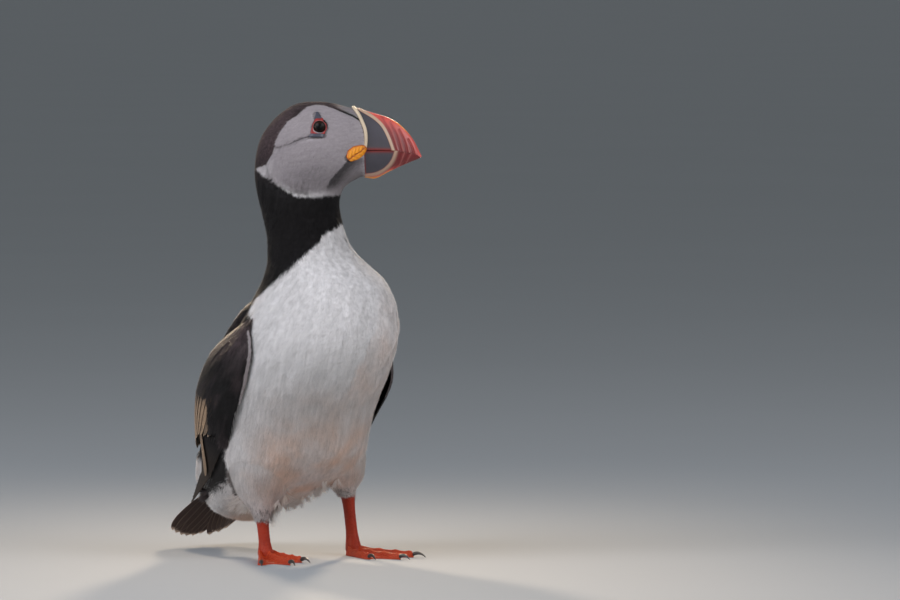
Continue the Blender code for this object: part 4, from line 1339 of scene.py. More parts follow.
def buildEyeRing(side, name):
    # Bare skin round the eye. It starts on the ball at the opening, rises as a rounded lip, and sinks to the
    # feathers at a four-cornered outer edge, whose radius is where a ray from the middle leaves that shape.
    eye = np.array(headPatches["eye"])
    around = roundTo(120)[None, :]
    reach = outlineReach(np.array(headPatches["ringCorners"]) - eye, around[0], 2.5)
    reach = np.maximum(reach, headPatches["ringLeast"])
    opening = headPatches["opening"]
    across = np.linspace(0, 1, 18)[:, None]
    radius = opening + (reach - opening) * across
    forward, up = eye[0] + radius * np.cos(around), eye[1] + radius * np.sin(around)
    inner = headPatches["ballLeft"] + math.sqrt(headPatches["ballRadius"] ** 2 - opening**2)
    outer = headSide(forward, up, 0.12, side)
    level = outer + (np.maximum(inner, outer) - outer) * step(1.0, 0.0, across) + 0.42 * np.sin(np.pi * across) ** 0.8
    level = level - 0.5 * step(0.9, 1.0, across)
    wrinkle = 0.07 * np.sin(around * 26 + 3 * across) * np.sin(np.pi * across)
    top = turned(forward, side * (level + wrinkle), up, headTurn)
    wider = radius + 0.12
    low = turned(eye[0] + wider * np.cos(around), side * (level - 1.4), eye[1] + wider * np.sin(around), headTurn)
    rings = np.concatenate([top, low[::-1]])
    count, columns = rings.shape[:2]
    obj, _ = makeMesh(name, rings.reshape(-1, 3), gridFaces(count + 1, columns, True) % (count * columns))
    facesOut(obj)
    pale = step(0.30, 0.08, across) * (0.35 + 0.65 * step(0.2, 0.8, -np.cos(around - 0.3)))
    lie = fourShares(across, pale, np.sin(around * 9) * 0.5 + 0.5, 1.0)
    setColour(obj, "lie", np.concatenate([lie, lie[::-1]]))
    return obj


def buildPatch(name, key, side, wrinkle=0.0):
    # A low rounded plate on the side of the face: rays from its middle to its outline, raised as
    # (1 - r^2.4)^0.5. The rosette has a furrow along its middle and folds beside it that follow its outline.
    patch = headPatches[key]
    around = roundTo(120)
    reach = outlineReach(patch["corners"], around, patch["soften"])
    r = np.linspace(0.02, 1, 26)[:, None]
    x, y = r * reach * np.cos(around), r * reach * np.sin(around)
    dome = np.sqrt(np.clip(1 - r**2.4, 0, 1)) + 0 * around
    slope = math.radians(patch.get("furrowSlope", 0))
    off = -x * math.sin(slope) + y * math.cos(slope)
    if wrinkle:
        # the folds run off the furrow to both sides, as veins run off the middle of a leaf
        down = x * math.cos(slope) + y * math.sin(slope)
        furrow = bell(off + 0.35 * np.sin(down * 1.1), 0.36) * step(1.0, 0.75, r)
        folds = np.sin((down - 0.75 * np.abs(off)) * 3.3 + 0.8 * np.sin(off * 2.1))
        dome = dome * (0.90 + wrinkle * folds * step(1.0, 0.8, r) - 0.36 * furrow)
    forward, up = patch["middle"]
    t, angle = facePlace(forward + x, up + y)
    top = billEdge(t, -side * angle, bodyPoint(t, -side * angle, 0.02 + (patch["proud"] - 0.02) * dome))
    low = billEdge(t, -side * angle, bodyPoint(t, -side * angle, -0.9 + 0 * dome))[::-1]
    obj = closedTube(name, np.concatenate([top, low]))
    lie = fourShares(r, 0.5 + off / 8, np.clip(dome, 0, 1), 1.0)
    tubeColour(obj, "lie", np.concatenate([lie, lie[::-1]]))
    return obj


# legs and feet

legs = {
    "ankle": {-1: (-17.6, -12.5, -14), 1: (36.9, -10.0, 14)},  # left, forward, heading to the left in degrees
    "legBottom": 2.6,  # height at which the bare leg ends, inside the foot
    "ankleDome": 6.6,  # height of the foot at the ankle
    "tarsusRadii": (2.9, 3.7),  # sideways, fore and aft
    "toes": {"Inner": (-27, 27.0), "Middle": (-3, 37.0), "Outer": (21, 35.0)},  # degrees outwards, length
    "heel": 5.0,  # how far behind the ankle the foot ends
    "footHalfWidth": 3.7,
    "webThick": 0.9,
    "toeRidge": (3.5, 1.75),  # height over the web at the root, half width
    "clawLength": 7.0,
    "clawRadius": 1.25,
}


def buildTarsus(side, name):
    levels = np.linspace(0, 1, 90)
    start = np.array(thighs["end"][side]) + (0, 0, 2.2)
    end = np.array((*legs["ankle"][side][:2], legs["legBottom"]))
    centres = start + (end - start) * levels[:, None]
    flare = 1 + 0.30 * bell(levels, 0.2) + 0.42 * bell(1 - levels, 0.2)
    around = roundTo(64)
    # broad scutes down the front, fine net elsewhere: each scute bulges between two creases
    front = step(0.2, 0.9, np.sin(around))[None, :]
    height = (start[2] - end[2]) * levels[:, None]
    scute = np.abs(np.sin(height * math.pi / 2.1)) ** 0.5
    net = np.abs(np.sin(height * math.pi / 1.15 + 1.5 * np.sin(around * 9))) ** 0.6
    bumps = 0.16 * (scute * front + 0.7 * net * (1 - front)) - 0.1
    wide, deep = legs["tarsusRadii"]
    rings = np.stack([
        centres[:, 0:1] + (wide * flare[:, None] + bumps) * np.cos(around),
        centres[:, 1:2] + (deep * flare[:, None] + bumps) * np.sin(around),
        centres[:, 2:3] + 0 * around,
    ], -1)
    return closedTube(name, rings)


def footPlan(side):
    # lays (share across, share along) of one foot out on the floor
    left0, forward0, heading = legs["ankle"][side]
    turn = math.radians(heading)
    lengths = np.array([length for _, length in legs["toes"].values()])
    bearings = np.radians([bearing for bearing, _ in legs["toes"].values()])
    shares = np.array((-0.88, 0.0, 0.88))

    def plan(across, along):
        held = np.clip(across, -0.88, 0.88)
        bearing = np.interp(across, shares, bearings) + (across - held) * 0.5
        reach = np.interp(across, shares, lengths) * (1 - 0.24 * np.abs(np.sin(math.pi * held / 0.88)))
        reach = reach - 14 * np.clip(np.abs(across) - 0.88, 0, 1)
        forward = -legs["heel"] + 3.0 * across**2 * (1 - along) + along * (legs["heel"] + reach * np.cos(bearing))
        out = legs["footHalfWidth"] * across * (1 - along) + along * (reach * np.sin(bearing) + 0.6 * across)
        left = side * out
        return np.stack([left0 + left * math.cos(turn) + forward * math.sin(turn),
                         forward0 - left * math.sin(turn) + forward * math.cos(turn)], -1)

    return plan, shares


def buildFoot(side, name):
    plan, shares = footPlan(side)
    across, along = np.broadcast_arrays(np.linspace(-1, 1, 111)[None, :], np.linspace(0, 1, 90)[:, None])
    floor = plan(across, along)
    spread = legs["footHalfWidth"] + 13.0 * along
    toe = sum(bell((across - share) * spread, legs["toeRidge"][1]) for share in shares)
    toe = np.clip(toe, 0, 1)
    # each toe swells at its joints, and its upper side is crossed by scutes
    joints = 0.55 * (bell(along - 0.42, 0.06) + bell(along - 0.70, 0.05) + bell(along - 0.93, 0.05))
    scutes = 0.13 * np.abs(np.sin(along * 38 * math.pi / 1.7)) ** 0.5
    height = legs["webThick"] + toe * (legs["toeRidge"][0] * (1 - 0.4 * along) + joints + scutes)
    # the web sags between toes and is finely wrinkled across
    height = height + (1 - toe) * (0.10 * np.sin(along * 55 + 4 * across) + 0.08 * np.sin(across * 60))
    heel = bell(along - 0.1, 0.14)
    height = height + (legs["ankleDome"] - height) * heel * (1 - 0.75 * across**2)
    # the outer toes and the ends round over to the floor as quarter circles
    sides = np.sqrt(1 - np.clip((np.abs(across) - 0.86) / 0.14, 0, 1) ** 2)
    front = np.sqrt(1 - np.clip((along - 0.95) / 0.05, 0, 1) ** 2)
    back = np.sqrt(1 - np.clip((0.10 - along) / 0.10, 0, 1) ** 2)
    height = height * (0.12 + 0.88 * np.minimum(sides, np.minimum(front, back)))
    top = np.concatenate([floor, height[..., None]], -1)
    sole = np.concatenate([floor, 0 * height[..., None]], -1)
    obj, _ = makeMesh(name, np.concatenate([top, sole]).reshape(-1, 3), sheetFaces(*height.shape))
    facesOut(obj)
    lie = fourShares(toe, along, np.abs(across), 1.0)
    setColour(obj, "lie", np.concatenate([lie, lie]))
    return obj


def buildClaws(side, end):
    plan, shares = footPlan(side)
    pieces = {}
    for toe, share in zip(legs["toes"], shares):
        tip, before = plan(np.array(share), np.array(1.0)), plan(np.array(share), np.array(0.9))
        ahead = (tip - before) / np.linalg.norm(tip - before)
        sideways = np.array((-ahead[1], ahead[0]))
        way = np.linspace(0, 1, 30)[:, None]
        around = roundTo(24)[None, :]
        radius = legs["clawRadius"] * np.sqrt(np.clip(1 - way**1.6, 0, 1)) * (1 - 0.35 * way) + 0.02
        level = 1.75 + 0.9 * np.sin(math.pi * way) - 1.45 * way**2
        centre = tip + ahead * (-0.2 + (legs["clawLength"] + 0.5) * way)
        ring = np.stack([
            centre[:, 0:1] + sideways[0] * radius * np.cos(around),
            centre[:, 1:2] + sideways[1] * radius * np.cos(around),
            np.maximum(level + radius * np.sin(around) * (1 - 0.25 * (np.sin(around) < 0)), 0.03),
        ], -1)
        pieces[toe] = closedTube("claw" + toe + end, ring)
    return pieces


# materials

colours = {
    "white": (0.86, 0.85, 0.86),
    "whiteWarm": (0.88, 0.53, 0.34),
    # warm tint of the white: painted warm light, as bounce light on the belly and glow from behind on the fringe and
    # the thighs, besides the cream of the wing's edge
    "grey": (0.435, 0.397, 0.422),
    "black": (0.011, 0.010, 0.011),
    # painted brown sheen on the black
    "blackWarm": (0.095, 0.068, 0.074),
    # worn brown feather ends, painted paler as if lit through from behind
    "secondaryTip": (0.42, 0.285, 0.18),
    "featherRim": (0.42, 0.30, 0.22),
    "shaft": (0.03, 0.024, 0.022),
}


class Nodes:
    # a short way to add nodes to a tree and join them
    def __init__(self, tree):
        self.tree = tree

    def add(self, kind, inputs=None, **settings):
        node = self.tree.nodes.new(kind)
        for name, value in settings.items():
            setattr(node, name, value)
        for name, value in (inputs or {}).items():
            self.put(node.inputs[name], value)
        return node

    def put(self, socket, value):
        if isinstance(value, bpy.types.NodeSocket):
            self.tree.links.new(value, socket)
        else:
            isColour = isinstance(value, tuple) and len(value) == 3 and socket.type == "RGBA"
            socket.default_value = (*value, 1) if isColour else value

    def maths(self, operation, a, b=0.0, clamp=False):
        node = self.add("ShaderNodeMath", operation=operation, use_clamp=clamp)
        self.put(node.inputs[0], a)
        self.put(node.inputs[1], b)
        return node.outputs[0]

    def times(self, a, b, clamp=False):
        return self.maths("MULTIPLY", a, b, clamp)

    def plus(self, a, b):
        return self.maths("ADD", a, b)

    def minus(self, a, b):
        return self.maths("SUBTRACT", a, b)

    def ramp(self, value, low, high, lowTo=0.0, highTo=1.0):
        node = self.add("ShaderNodeMapRange", {"Value": value, "From Min": low, "From Max": high, "To Min": lowTo,
                                               "To Max": highTo}, interpolation_type="SMOOTHSTEP")
        return node.outputs[0]

    def mix(self, share, a, b, blend="MIX"):
        node = self.add("ShaderNodeMix", data_type="RGBA", blend_type=blend)
        self.put(node.inputs[0], share)
        self.put(node.inputs[6], a)
        self.put(node.inputs[7], b)
        return node.outputs[2]

    def lit(self, colour, light):
        # a colour made lighter or darker by a factor
        grey = self.add("ShaderNodeCombineColor", {"Red": light, "Green": light, "Blue": light}).outputs[0]
        return self.mix(1.0, colour, grey, "MULTIPLY")

    def split(self, colour):
        return self.add("ShaderNodeSeparateColor", {"Color": colour}).outputs

    def fromMesh(self, name):
        return self.add("ShaderNodeAttribute", attribute_name=name, attribute_type="GEOMETRY").outputs["Color"]

    def streaks(self, place, axis, scale):
        # noise drawn out along an axis: most of the place's share along it is taken away first
        along = self.add("ShaderNodeVectorMath", {0: place, 1: axis}, operation="DOT_PRODUCT").outputs["Value"]
        back = self.add("ShaderNodeVectorMath", {0: axis, "Scale": self.maths("MULTIPLY", along, -0.93)},
                        operation="SCALE").outputs[0]
        return self.noise(self.add("ShaderNodeVectorMath", {0: place, 1: back}).outputs[0], scale, 2.0)

    def noise(self, vector, scale, detail=3.0, stretch=None):
        if stretch:
            vector = self.add("ShaderNodeMapping", {"Vector": vector, "Scale": stretch}).outputs[0]
        return self.add("ShaderNodeTexNoise", {"Vector": vector, "Scale": scale, "Detail": detail}).outputs[0]


colour, number, vector = "NodeSocketColor", "NodeSocketFloat", "NodeSocketVector"


def makeGroup(name, inputs, outputs):
    tree = bpy.data.node_groups.new(name, "ShaderNodeTree")
    for socketName, kind, value in inputs:
        socket = tree.interface.new_socket(socketName, in_out="INPUT", socket_type=kind)
        if value is not None:
            socket.default_value = value
    for socketName, kind in outputs:
        tree.interface.new_socket(socketName, in_out="OUTPUT", socket_type=kind)
    nodes = Nodes(tree)
    return tree, nodes, nodes.add("NodeGroupInput").outputs, nodes.add("NodeGroupOutput").inputs


def plumageGroup():
    # markings, the way along and across a feather, and its tone, turned into a colour and a height
    tree, n, given, out = makeGroup("plumage", [
        ("Marks", colour, None), ("Lie", colour, None), ("Place", vector, None),
        ("White", colour, (*colours["white"], 1)), ("White Warm", colour, (*colours["whiteWarm"], 1)),
        ("Grey", colour, (*colours["grey"], 1)), ("Black", colour, (*colours["black"], 1)),
        ("Black Warm", colour, (*colours["blackWarm"], 1)), ("Variation", number, 0.12),
        ("Root Shade", number, 0.3), ("Streak", number, 0.5), ("Pale Variation", number, 0.2),
    ], [("Colour", colour), ("Height", number)])
    marks, lie = n.split(given["Marks"]), n.split(given["Lie"])
    cloud = n.noise(given["Place"], 55.0, 2.0)
    fine = n.noise(given["Place"], 900.0, 2.0)
    # the warm mark paints warm light on the white and a brown sheen on the black
    warm = n.times(marks[2], n.ramp(cloud, 0.3, 0.75, 0.35, 1.0))
    white = n.mix(n.times(warm, 0.8), given["White"], given["White Warm"])
    pale = n.mix(marks[1], white, given["Grey"])
    warm = n.times(marks[2], n.ramp(fine, 0.3, 0.7, 0.7, 1.0))
    plain = n.mix(marks[0], pale, n.mix(warm, given["Black"], given["Black Warm"]))
    tone = n.minus(lie[2], 0.5)
    tone = n.plus(tone, n.times(n.minus(given["Streak"], 0.5), 1.8))
    swing = n.ramp(marks[0], 0.0, 1.0, given["Pale Variation"], given["Variation"])
    tone = n.plus(n.times(tone, swing), n.times(n.minus(fine, 0.5), 0.22))
    shade = n.times(n.minus(1.0, n.ramp(lie[0], 0.0, 0.55)), given["Root Shade"])
    n.put(out["Colour"], n.lit(plain, n.minus(n.plus(tone, 1.0), shade)))
    barbs = n.maths("SINE", n.times(lie[1], 38.0))
    n.put(out["Height"], n.plus(n.times(barbs, 0.3), fine))
    return tree


def vaneGroup():
    # a flight feather: barbs that slant from the shaft, a paler shaft and rim, and a warm thin end, partly worn brown
    # and partly painted as if lit through from behind
    tree, n, given, out = makeGroup("vane", [
        ("Lie", colour, None), ("Marks", colour, None), ("Base", colour, (0.012, 0.011, 0.012, 1)),
        ("Warm", colour, (*colours["secondaryTip"], 1)), ("Rim", colour, (*colours["featherRim"], 1)),
        ("Rim Width", number, 0.05), ("Rim Strength", number, 0.4), ("Side Rim", number, 0.6),
        ("Side Colour", colour, (*colours["featherRim"], 1)),
    ], [("Colour", colour), ("Height", number)])
    lie, marks = n.split(given["Lie"]), n.split(given["Marks"])
    across = n.maths("ABSOLUTE", n.times(n.minus(lie[1], 0.5), 2.0))
    slant = n.plus(n.times(lie[0], 420.0), n.times(across, -60.0))
    barbs = n.maths("SINE", slant)
    streak = n.add("ShaderNodeTexNoise", {"Vector": n.add("ShaderNodeCombineXYZ", {
        "X": n.times(across, 3.0), "Y": n.times(slant, 0.12),
        "Z": n.times(lie[2], 40.0)}).outputs[0], "Scale": 2.0, "Detail": 3.0}).outputs[0]
    warmth = n.times(marks[2], n.ramp(streak, 0.35, 0.65, 0.25, 1.0))
    warmth = n.times(warmth, n.ramp(lie[0], 0.05, 0.50))
    base = n.mix(warmth, given["Base"], given["Warm"])
    shaft = n.ramp(across, 0.0, 0.07, 1.0, 0.0)
    base = n.mix(n.times(shaft, 0.25), base, colours["shaft"])
    side = n.ramp(across, n.minus(1.0, n.times(given["Rim Width"], 1.6)), 1.0)
    tip = n.ramp(lie[0], n.minus(1.0, given["Rim Width"]), 1.0)
    side = n.times(n.times(side, given["Side Rim"]), given["Rim Strength"])
    base = n.mix(side, base, given["Side Colour"])
    n.put(out["Colour"], n.mix(n.times(tip, given["Rim Strength"]), base, given["Rim"]))
    n.put(out["Height"], n.plus(n.times(barbs, 0.35), n.times(shaft, 1.4)))
    return tree


def hornGroup():
    # horn: growth lines, cloudy depth and fine wear
    tree, n, given, out = makeGroup("horn", [
        ("Base", colour, (0.5, 0.5, 0.5, 1)), ("Place", vector, None), ("Grain", number, 0.15),
        ("Scale", number, 260.0),
    ], [("Colour", colour), ("Height", number), ("Roughness", number)])
    cloud = n.noise(given["Place"], 90.0, 3.0)
    grain = n.noise(given["Place"], given["Scale"], 4.0, (1.0, 1.0, 0.35))
    both = n.plus(n.times(grain, 0.6), n.times(cloud, 0.4))
    swing = n.times(n.minus(both, 0.5), n.times(given["Grain"], 4.0))
    n.put(out["Colour"], n.lit(given["Base"], n.plus(1.0, swing)))
    n.put(out["Height"], grain)
    n.put(out["Roughness"], n.ramp(cloud, 0.25, 0.75, 0.30, 0.46))
    return tree


def scaleGroup():
    # skin of the legs and feet: small plates with dark creases between them
    tree, n, given, out = makeGroup("scales", [
        ("Base", colour, None), ("Crease", colour, None), ("Place", vector, None), ("Scale", number, 900.0),
    ], [("Colour", colour), ("Height", number), ("Roughness", number)])
    cells = n.add("ShaderNodeTexVoronoi", {"Vector": given["Place"], "Scale": given["Scale"]},
                  feature="DISTANCE_TO_EDGE").outputs[0]
    plate = n.ramp(cells, 0.0, 0.16)
    cloud = n.noise(given["Place"], 120.0, 3.0)
    base = n.mix(n.ramp(cloud, 0.35, 0.7, 0.0, 0.5), given["Base"], given["Crease"])
    n.put(out["Colour"], n.mix(plate, n.mix(0.55, base, given["Crease"]), base))
    n.put(out["Height"], plate)
    n.put(out["Roughness"], n.ramp(plate, 0.0, 1.0, 0.62, 0.42))
    return tree


def makeMaterial(name, **look):
    material = bpy.data.materials.new(name)
    material.use_nodes = True
    n = Nodes(material.node_tree)
    shader = material.node_tree.nodes["Principled BSDF"]
    for socket, value in look.items():
        n.put(shader.inputs[socket.replace("_", " ")], value)
    place = n.add("ShaderNodeTexCoord").outputs["Object"]
    return material, n, shader, place


def bump(n, shader, height, strength, distance):
    node = n.add("ShaderNodeBump", {"Height": height, "Strength": strength, "Distance": distance})
    n.put(shader.inputs["Normal"], node.outputs[0])


def groupMaterial(name, group, bumpBy, look, values):
    # A material whose colour and height come from a node group. look is set on the shader and values on the
    # group; a value may be a function of the material's nodes and of the place on the piece.
    material, n, shader, place = makeMaterial(name, **look)
    node = n.add("ShaderNodeGroup", node_tree=group)
    for key, value in values.items():
        n.put(node.inputs[key.replace("_", " ")], value(n, place) if callable(value) else value)
    n.put(shader.inputs["Base Color"], node.outputs["Colour"])
    if "Roughness" not in look:
        n.put(shader.inputs["Roughness"], node.outputs["Roughness"])
    bump(n, shader, node.outputs["Height"], *bumpBy)
    return material


ownPlace = lambda n, place: place
ownMarks = lambda n, place: n.fromMesh("marks")
ownLie = lambda n, place: n.fromMesh("lie")


def plumageMaterial(name, roughness, sheen, variation, rootShade, sheenTint=(1.0, 0.93, 0.86),
                    axis=(0.0, 0.35, -0.94), streak=520.0, **values):
    look = dict(Roughness=roughness, Sheen_Weight=sheen, Sheen_Roughness=0.45, Sheen_Tint=sheenTint,
                  Specular_IOR_Level=0.2)
    values.update(Marks=ownMarks, Lie=ownLie, Place=ownPlace, Variation=variation, Root_Shade=rootShade,
                  Streak=lambda n, place: n.streaks(place, axis, streak))
    return groupMaterial(name, plumage, (0.25, 0.0002), look, values)


def vaneMaterial(name, roughness, sheen, **values):
    look = dict(Roughness=roughness, Sheen_Weight=sheen, Sheen_Roughness=0.4, Specular_IOR_Level=0.16)
    return groupMaterial(name, vane, (0.35, 0.0002), look, dict(values, Lie=ownLie, Marks=ownMarks))


def hornMaterial(name, base, grain, scale, strength, coat=0.0, **look):
    look.update(Coat_Weight=coat, Coat_Roughness=0.16)
    values = dict(Place=ownPlace, Grain=grain, Scale=scale, Base=base)
    return groupMaterial(name, horn, (strength, 0.0003), look, values)


def legMaterial(name, base, crease, scale):
    look = dict(Specular_IOR_Level=0.3, Subsurface_Weight=0.15, Subsurface_Radius=(0.0016, 0.0006, 0.0003))
    values = dict(Base=base, Crease=crease, Place=ownPlace, Scale=scale)
    return groupMaterial(name, scales, (0.5, 0.0003), look, values)


billColours = {
    "red": (0.17, 0.013, 0.014),
    # painted light: brighter red under the ridge
    "redBright": (0.64, 0.090, 0.072),
    # painted shade in the grooves
    "redDeep": (0.20, 0.012, 0.012),
    # painted highlight beside the grooves
    "grooveHighlight": (0.48, 0.15, 0.13),
    "slate": (0.050, 0.046, 0.060),
    "cream": (0.50, 0.35, 0.25),
    "rim": (0.62, 0.50, 0.36),
    # painted glow along the ridge and the lower edge
    "glow": (0.90, 0.30, 0.025),
    "gape": (0.20, 0.012, 0.010),
}
bareColours = {
    # painted shade in the rosette's folds and furrow
    "rosetteFold": (0.46, 0.10, 0.005),
    "rosette": (0.84, 0.31, 0.006),
    "rosetteFurrow": (0.26, 0.035, 0.006),
    "ring": (0.34, 0.022, 0.020),
    "ringDark": (0.17, 0.014, 0.013),
    "ringEdge": (0.42, 0.32, 0.32),
    "plate": (0.060, 0.062, 0.085),
    "iris": (0.012, 0.006, 0.004),
    "irisPale": (0.022, 0.011, 0.007),
    "eyeEdge": (0.018, 0.014, 0.014),
    "pupil": (0.0015, 0.0015, 0.0018),
    "leg": (0.37, 0.030, 0.006),
    "legCrease": (0.22, 0.012, 0.003),
    "foot": (0.50, 0.058, 0.012),
    "footCrease": (0.30, 0.020, 0.006),
    "claw": (0.022, 0.019, 0.018),
}


def billBase(n, place):
    marks, lines = n.split(n.fromMesh("marks")), n.split(n.fromMesh("lie"))
    # painted shade: the red is darker in the grooves
    red = n.mix(n.times(lines[0], 0.9), billColours["red"], billColours["redDeep"])
    red = n.mix(n.times(lines[2], 0.40), red, billColours["grooveHighlight"])
    bright = n.mix(n.times(lines[0], 0.6), billColours["redBright"], billColours["redDeep"])
    red = n.mix(n.times(marks[2], 2.0, True), red, bright)
    red = n.mix(n.ramp(marks[2], 0.5, 1.0), red, billColours["glow"])
    out = n.mix(marks[0], red, n.mix(lines[1], billColours["slate"], billColours["gape"]))
    return n.mix(marks[1], out, billColours["cream"])


def rosetteBase(n, place):
    lie = n.split(n.fromMesh("lie"))
    furrow = n.ramp(n.maths("ABSOLUTE", n.minus(lie[1], 0.5)), 0.0, 0.07, 1.0, 0.0)
    # painted shade: the rosette is darker where it lies lower, in its folds and at its edge, and along its furrow
    base = n.mix(n.ramp(lie[2], 0.15, 0.75), bareColours["rosetteFold"], bareColours["rosette"])
    return n.mix(n.times(furrow, 0.7), base, bareColours["rosetteFurrow"])


def ringBase(n, place):
    lie = n.split(n.fromMesh("lie"))
    base = n.mix(n.ramp(lie[2], 0.2, 0.9, 0.0, 0.6), bareColours["ring"], bareColours["ringDark"])
    return n.mix(lie[1], base, bareColours["ringEdge"])


def eyeMaterial():
    material, n, shader, place = makeMaterial("eyeDark", Roughness=0.4, Coat_Weight=0.10, Coat_Roughness=0.03,
                                              Specular_IOR_Level=0.1)
    marks = n.split(n.fromMesh("marks"))
    iris = n.mix(n.times(marks[2], 0.5), bareColours["iris"], bareColours["irisPale"])
    base = n.mix(marks[1], bareColours["eyeEdge"], iris)
    n.put(shader.inputs["Base Color"], n.mix(marks[0], base, bareColours["pupil"]))
    bump(n, shader, n.noise(place, 1500.0, 2.0), 0.02, 0.0001)
    return material


# everything together

plumage, vane, horn, scales = plumageGroup(), vaneGroup(), hornGroup(), scaleGroup()
finish = {
    "skin": plumageMaterial("skinUnderCoat", 0.9, 0.0, 0.1, 0.35),
    "white": plumageMaterial("whitePlumage", 0.85, 0.08, 0.6, 0.38, Pale_Variation=0.27),
    "fringe": plumageMaterial("fringePlumage", 0.8, 1.0, 0.2, 0.0, Pale_Variation=0.05),
    "grey": plumageMaterial("greyPlumage", 0.9, 0.08, 0.5, 0.30, axis=(0.83, -0.54, 0.1), streak=800.0,
                            Pale_Variation=0.18),
    "black": plumageMaterial("blackPlumage", 0.62, 0.03, 0.8, 0.3, sheenTint=(1.0, 0.85, 0.80)),
    "wing": plumageMaterial("wingPlumage", 0.52, 0.02, 1.0, 0.3, sheenTint=(1.0, 0.85, 0.80)),
    "secondaries": vaneMaterial("secondaryVanes", 0.5, 0.1, Rim_Width=0.06, Rim_Strength=0.8, Rim=(0.50, 0.35, 0.23),
                                Side_Rim=1.1, Side_Colour=(0.030, 0.020, 0.015)),
    "primaries": vaneMaterial("primaryVanes", 0.6, 0.0, Rim_Width=0.02, Rim_Strength=0.3, Side_Rim=0.7,
                              Base=(0.008, 0.007, 0.008)),
    # painted glow: the tail feathers' pale rims and sides stand for light shining through their edges from behind
    "tail": vaneMaterial("tailVanes", 0.62, 0.02, Rim_Width=0.09, Rim_Strength=0.95, Base=(0.045, 0.026, 0.023),
                         Warm=(0.075, 0.045, 0.036), Rim=(0.85, 0.66, 0.54), Side_Rim=0.25,
                         Side_Colour=(0.60, 0.46, 0.36)),
    "bill": hornMaterial("billHorn", billBase, 0.10, 420.0, 0.08, coat=0.28),
    "cream": hornMaterial("creamHorn", billColours["rim"], 0.16, 700.0, 0.4),
    "plate": hornMaterial("eyePlateHorn", bareColours["plate"], 0.18, 900.0, 0.4),
    "rosette": hornMaterial("rosetteSkin", rosetteBase, 0.12, 900.0, 0.4, coat=0.1, Roughness=0.5),
    "ring": hornMaterial("eyeRingSkin", ringBase, 0.12, 1500.0, 0.4, Roughness=0.45),
    "eye": eyeMaterial(),
    "leg": legMaterial("legSkin", bareColours["leg"], bareColours["legCrease"], 900.0),
    "foot": legMaterial("footSkin", bareColours["foot"], bareColours["footCrease"], 700.0),
    "claw": hornMaterial("clawHorn", bareColours["claw"], 0.2, 600.0, 0.3, coat=0.3, Roughness=0.35),
}


def dress(obj, material, slot, *nodes):
    # gives a piece its material and its body, and hides the CAD nodes that it stands for; the slot is not used
    obj.data.materials.append(finish[material])
    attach(obj, "root")
    if nodes:
        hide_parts(*nodes)


dress(buildSkin(), "skin", "white_plumage", "head", "neck", "trunk", "thigh_r", "thigh_l", "wing_r", "wing_l")
# material, slot, and the pieces of the coat that have them
coatFinish = [
    ("white", "white_plumage", ("Breast", "Throat", "Belly", "Vent", "Seam", "ThighL", "ThighR")),
    ("fringe", "white_plumage", ("Fringe", "LooseR")),
    ("black", "black_plumage", ("Back", "Neck", "Tail")),
    ("grey", "grey_plumage", ("Nape", "Cheeks", "Lores", "WingEdgeR", "WingEdgeL")),
    ("wing", "black_plumage", ("WingR", "WingL", "ScapularR", "ScapularL")),
]
finishOf = {"coat" + part: (material, slot) for material, slot, parts in coatFinish for part in parts}
for piece in buildBodyCoat() + buildThighCoat() + buildWingCoat():
    dress(piece, *finishOf[piece.name])
flight, primaries = buildWings()
for piece in flight:
    dress(piece, "secondaries", "black_plumage")
for end, node in (("R", "primaries_r"), ("L", "primaries_l")):
    dress(primaries[end], "primaries", "black_plumage", node)
dress(buildTail(), "tail", "black_plumage", "tail")

dress(buildBillHalf("billUpper", True), "bill", "bill_red", "bill_upper")
dress(buildBillHalf("billLower", False), "bill", "bill_red", "bill_lower")
dress(buildCreamRim(), "cream", "bill_pale", "bill_rim")
for side, end in ((1, "L"), (-1, "R")):
    low = end.lower()
    dress(buildEye(side, "eye" + end), "eye", "eye", "eye_" + low)
    dress(buildEyeRing(side, "eyeRing" + end), "ring", "bill_red")
    dress(buildPatch("eyePlateUpper" + end, "upperPlate", side), "plate", "slate", "eye_plate_upper_" + low)
    dress(buildPatch("eyePlateLower" + end, "lowerPlate", side), "plate", "slate", "eye_plate_lower_" + low)
    dress(buildPatch("rosette" + end, "rosette", side, 0.15), "rosette", "rosette", "rosette_" + low)
    dress(buildTarsus(side, "tarsus" + end), "leg", "leg_orange", "tarsus_" + low)
    dress(buildFoot(side, "foot" + end), "foot", "leg_orange", "foot_" + low)
    for toe, claw in buildClaws(side, end).items():
        dress(claw, "claw", "claw", "claw_" + toe.lower() + "_" + low)
print("bill, eyes and legs done")

# floor, lights and camera

studio = {
    "floor": (0.365, 0.385, 0.402),
    "floorHalf": 60,  # metres from its middle to its edge
    "world": (0.235, 0.25, 0.262),
    "centre": (-0.004, -0.027, 0.13),  # what the lights turn to
    # azimuth and elevation from the bird in degrees, distance, size, watts, colour, width of the beam in degrees
    "lights": {
        "keyLight": (-80, 37, 1.9, 1.5, 22, (0.93, 0.94, 1.0), 180),
        "lowLight": (-104, 5, 1.6, 0.8, 6.5, (1.0, 0.95, 0.92), 180),
        "bounceLight": (-4, 5, 1.9, 0.8, 4.5, (1.0, 0.88, 0.76), 180),
        "fillLight": (22, 32, 2.2, 1.5, 18, (0.95, 0.95, 1.0), 180),
        "rimLeft": (-192, 22, 2.4, 0.3, 0.5, (1.0, 0.80, 0.60), 18),
        "rimRight": (134, 22, 2.4, 0.3, 0.5, (1.0, 0.80, 0.58), 18),
    },
    "azimuth": -33.0,
    "elevation": 3.0,
    "distance": 4.05,
    "lens": 300.0,
    "aim": (0.0778, 0.1404),  # metres right of and above the bird's own origin, across the view
}


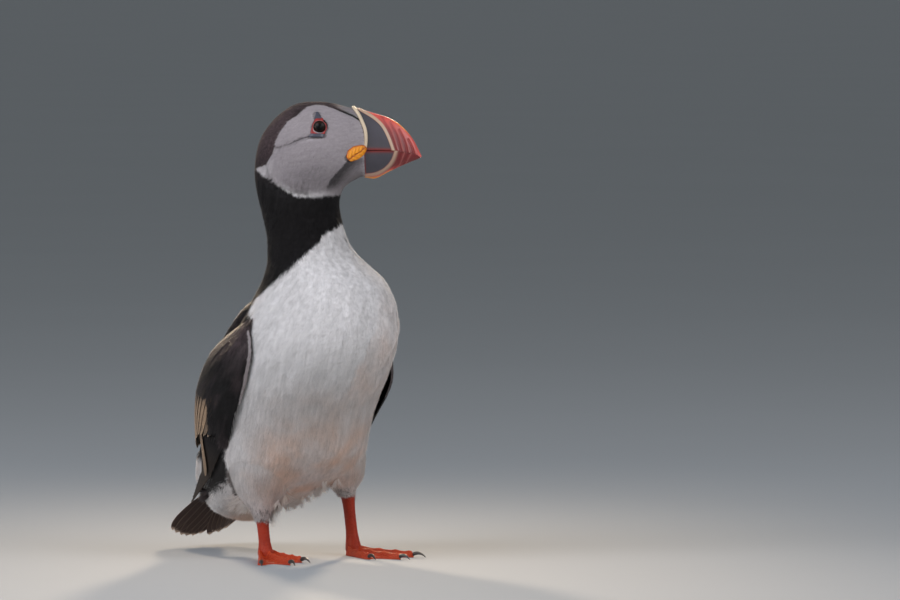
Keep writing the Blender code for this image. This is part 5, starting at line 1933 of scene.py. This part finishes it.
def viewAxes(azimuth, elevation):
    # unit vectors to the right, up and back towards a viewer at this azimuth from -Y and elevation
    az, el = math.radians(azimuth), math.radians(elevation)
    right = np.array((math.cos(az), math.sin(az), 0.0))
    back = np.array((math.sin(az) * math.cos(el), -math.cos(az) * math.cos(el), math.sin(el)))
    return right, np.cross(back, right), back


def buildStudio():
    plane = bpy.data.meshes.new("floor")
    edge = np.linspace(-studio["floorHalf"], studio["floorHalf"], 13)
    x, y = np.meshgrid(edge, edge)
    plane.from_pydata(np.stack([x.ravel(), y.ravel(), 0 * x.ravel()], -1).tolist(), [], gridFaces(13, 13).tolist())
    floor = bpy.data.objects.new("floor", plane)
    bpy.context.scene.collection.objects.link(floor)
    material, n, shader, place = makeMaterial("paleFloor", Roughness=0.9)
    cloud = n.noise(place, 3.0, 3.0)
    n.put(shader.inputs["Base Color"], n.mix(n.ramp(cloud, 0.3, 0.7, 0.0, 1.0), studio["floor"],
                                             tuple(c * 0.985 for c in studio["floor"])))
    plane.materials.append(material)

    world = bpy.data.worlds.new("studioAir")
    world.use_nodes = True
    world.node_tree.nodes["Background"].inputs["Color"].default_value = (*studio["world"], 1)
    bpy.context.scene.world = world

    centre = np.array(studio["centre"])
    for name, (azimuth, elevation, distance, size, watts, tint, beam) in studio["lights"].items():
        right, up, back = viewAxes(azimuth, elevation)
        light = bpy.data.lights.new(name, "AREA")
        light.shape = "DISK"
        light.size = size
        light.energy = watts
        light.color = tint
        light.spread = math.radians(beam)
        obj = bpy.data.objects.new(name, light)
        obj.matrix_world = lookMatrix(right, up, back, centre + back * distance)
        obj.visible_camera = False
        bpy.context.scene.collection.objects.link(obj)

    right, up, back = viewAxes(studio["azimuth"], studio["elevation"])
    aim = right * studio["aim"][0] + up * studio["aim"][1]
    aim = aim - np.array((bodyShape["centre"][0], -bodyShape["centre"][1], 0)) * 0.001
    data = bpy.data.cameras.new("camera")
    data.lens = studio["lens"]
    data.clip_end = 200
    camera = bpy.data.objects.new("camera", data)
    camera.matrix_world = lookMatrix(right, up, back, aim + back * studio["distance"])
    bpy.context.scene.collection.objects.link(camera)
    bpy.context.scene.camera = camera


def lookMatrix(right, up, back, place):
    matrix = np.eye(4)
    matrix[:3, 0], matrix[:3, 1], matrix[:3, 2], matrix[:3, 3] = right, up, back, place
    return Matrix(matrix.tolist())


buildStudio()
bpy.context.scene.view_settings.view_transform = "Standard"
print("studio done")
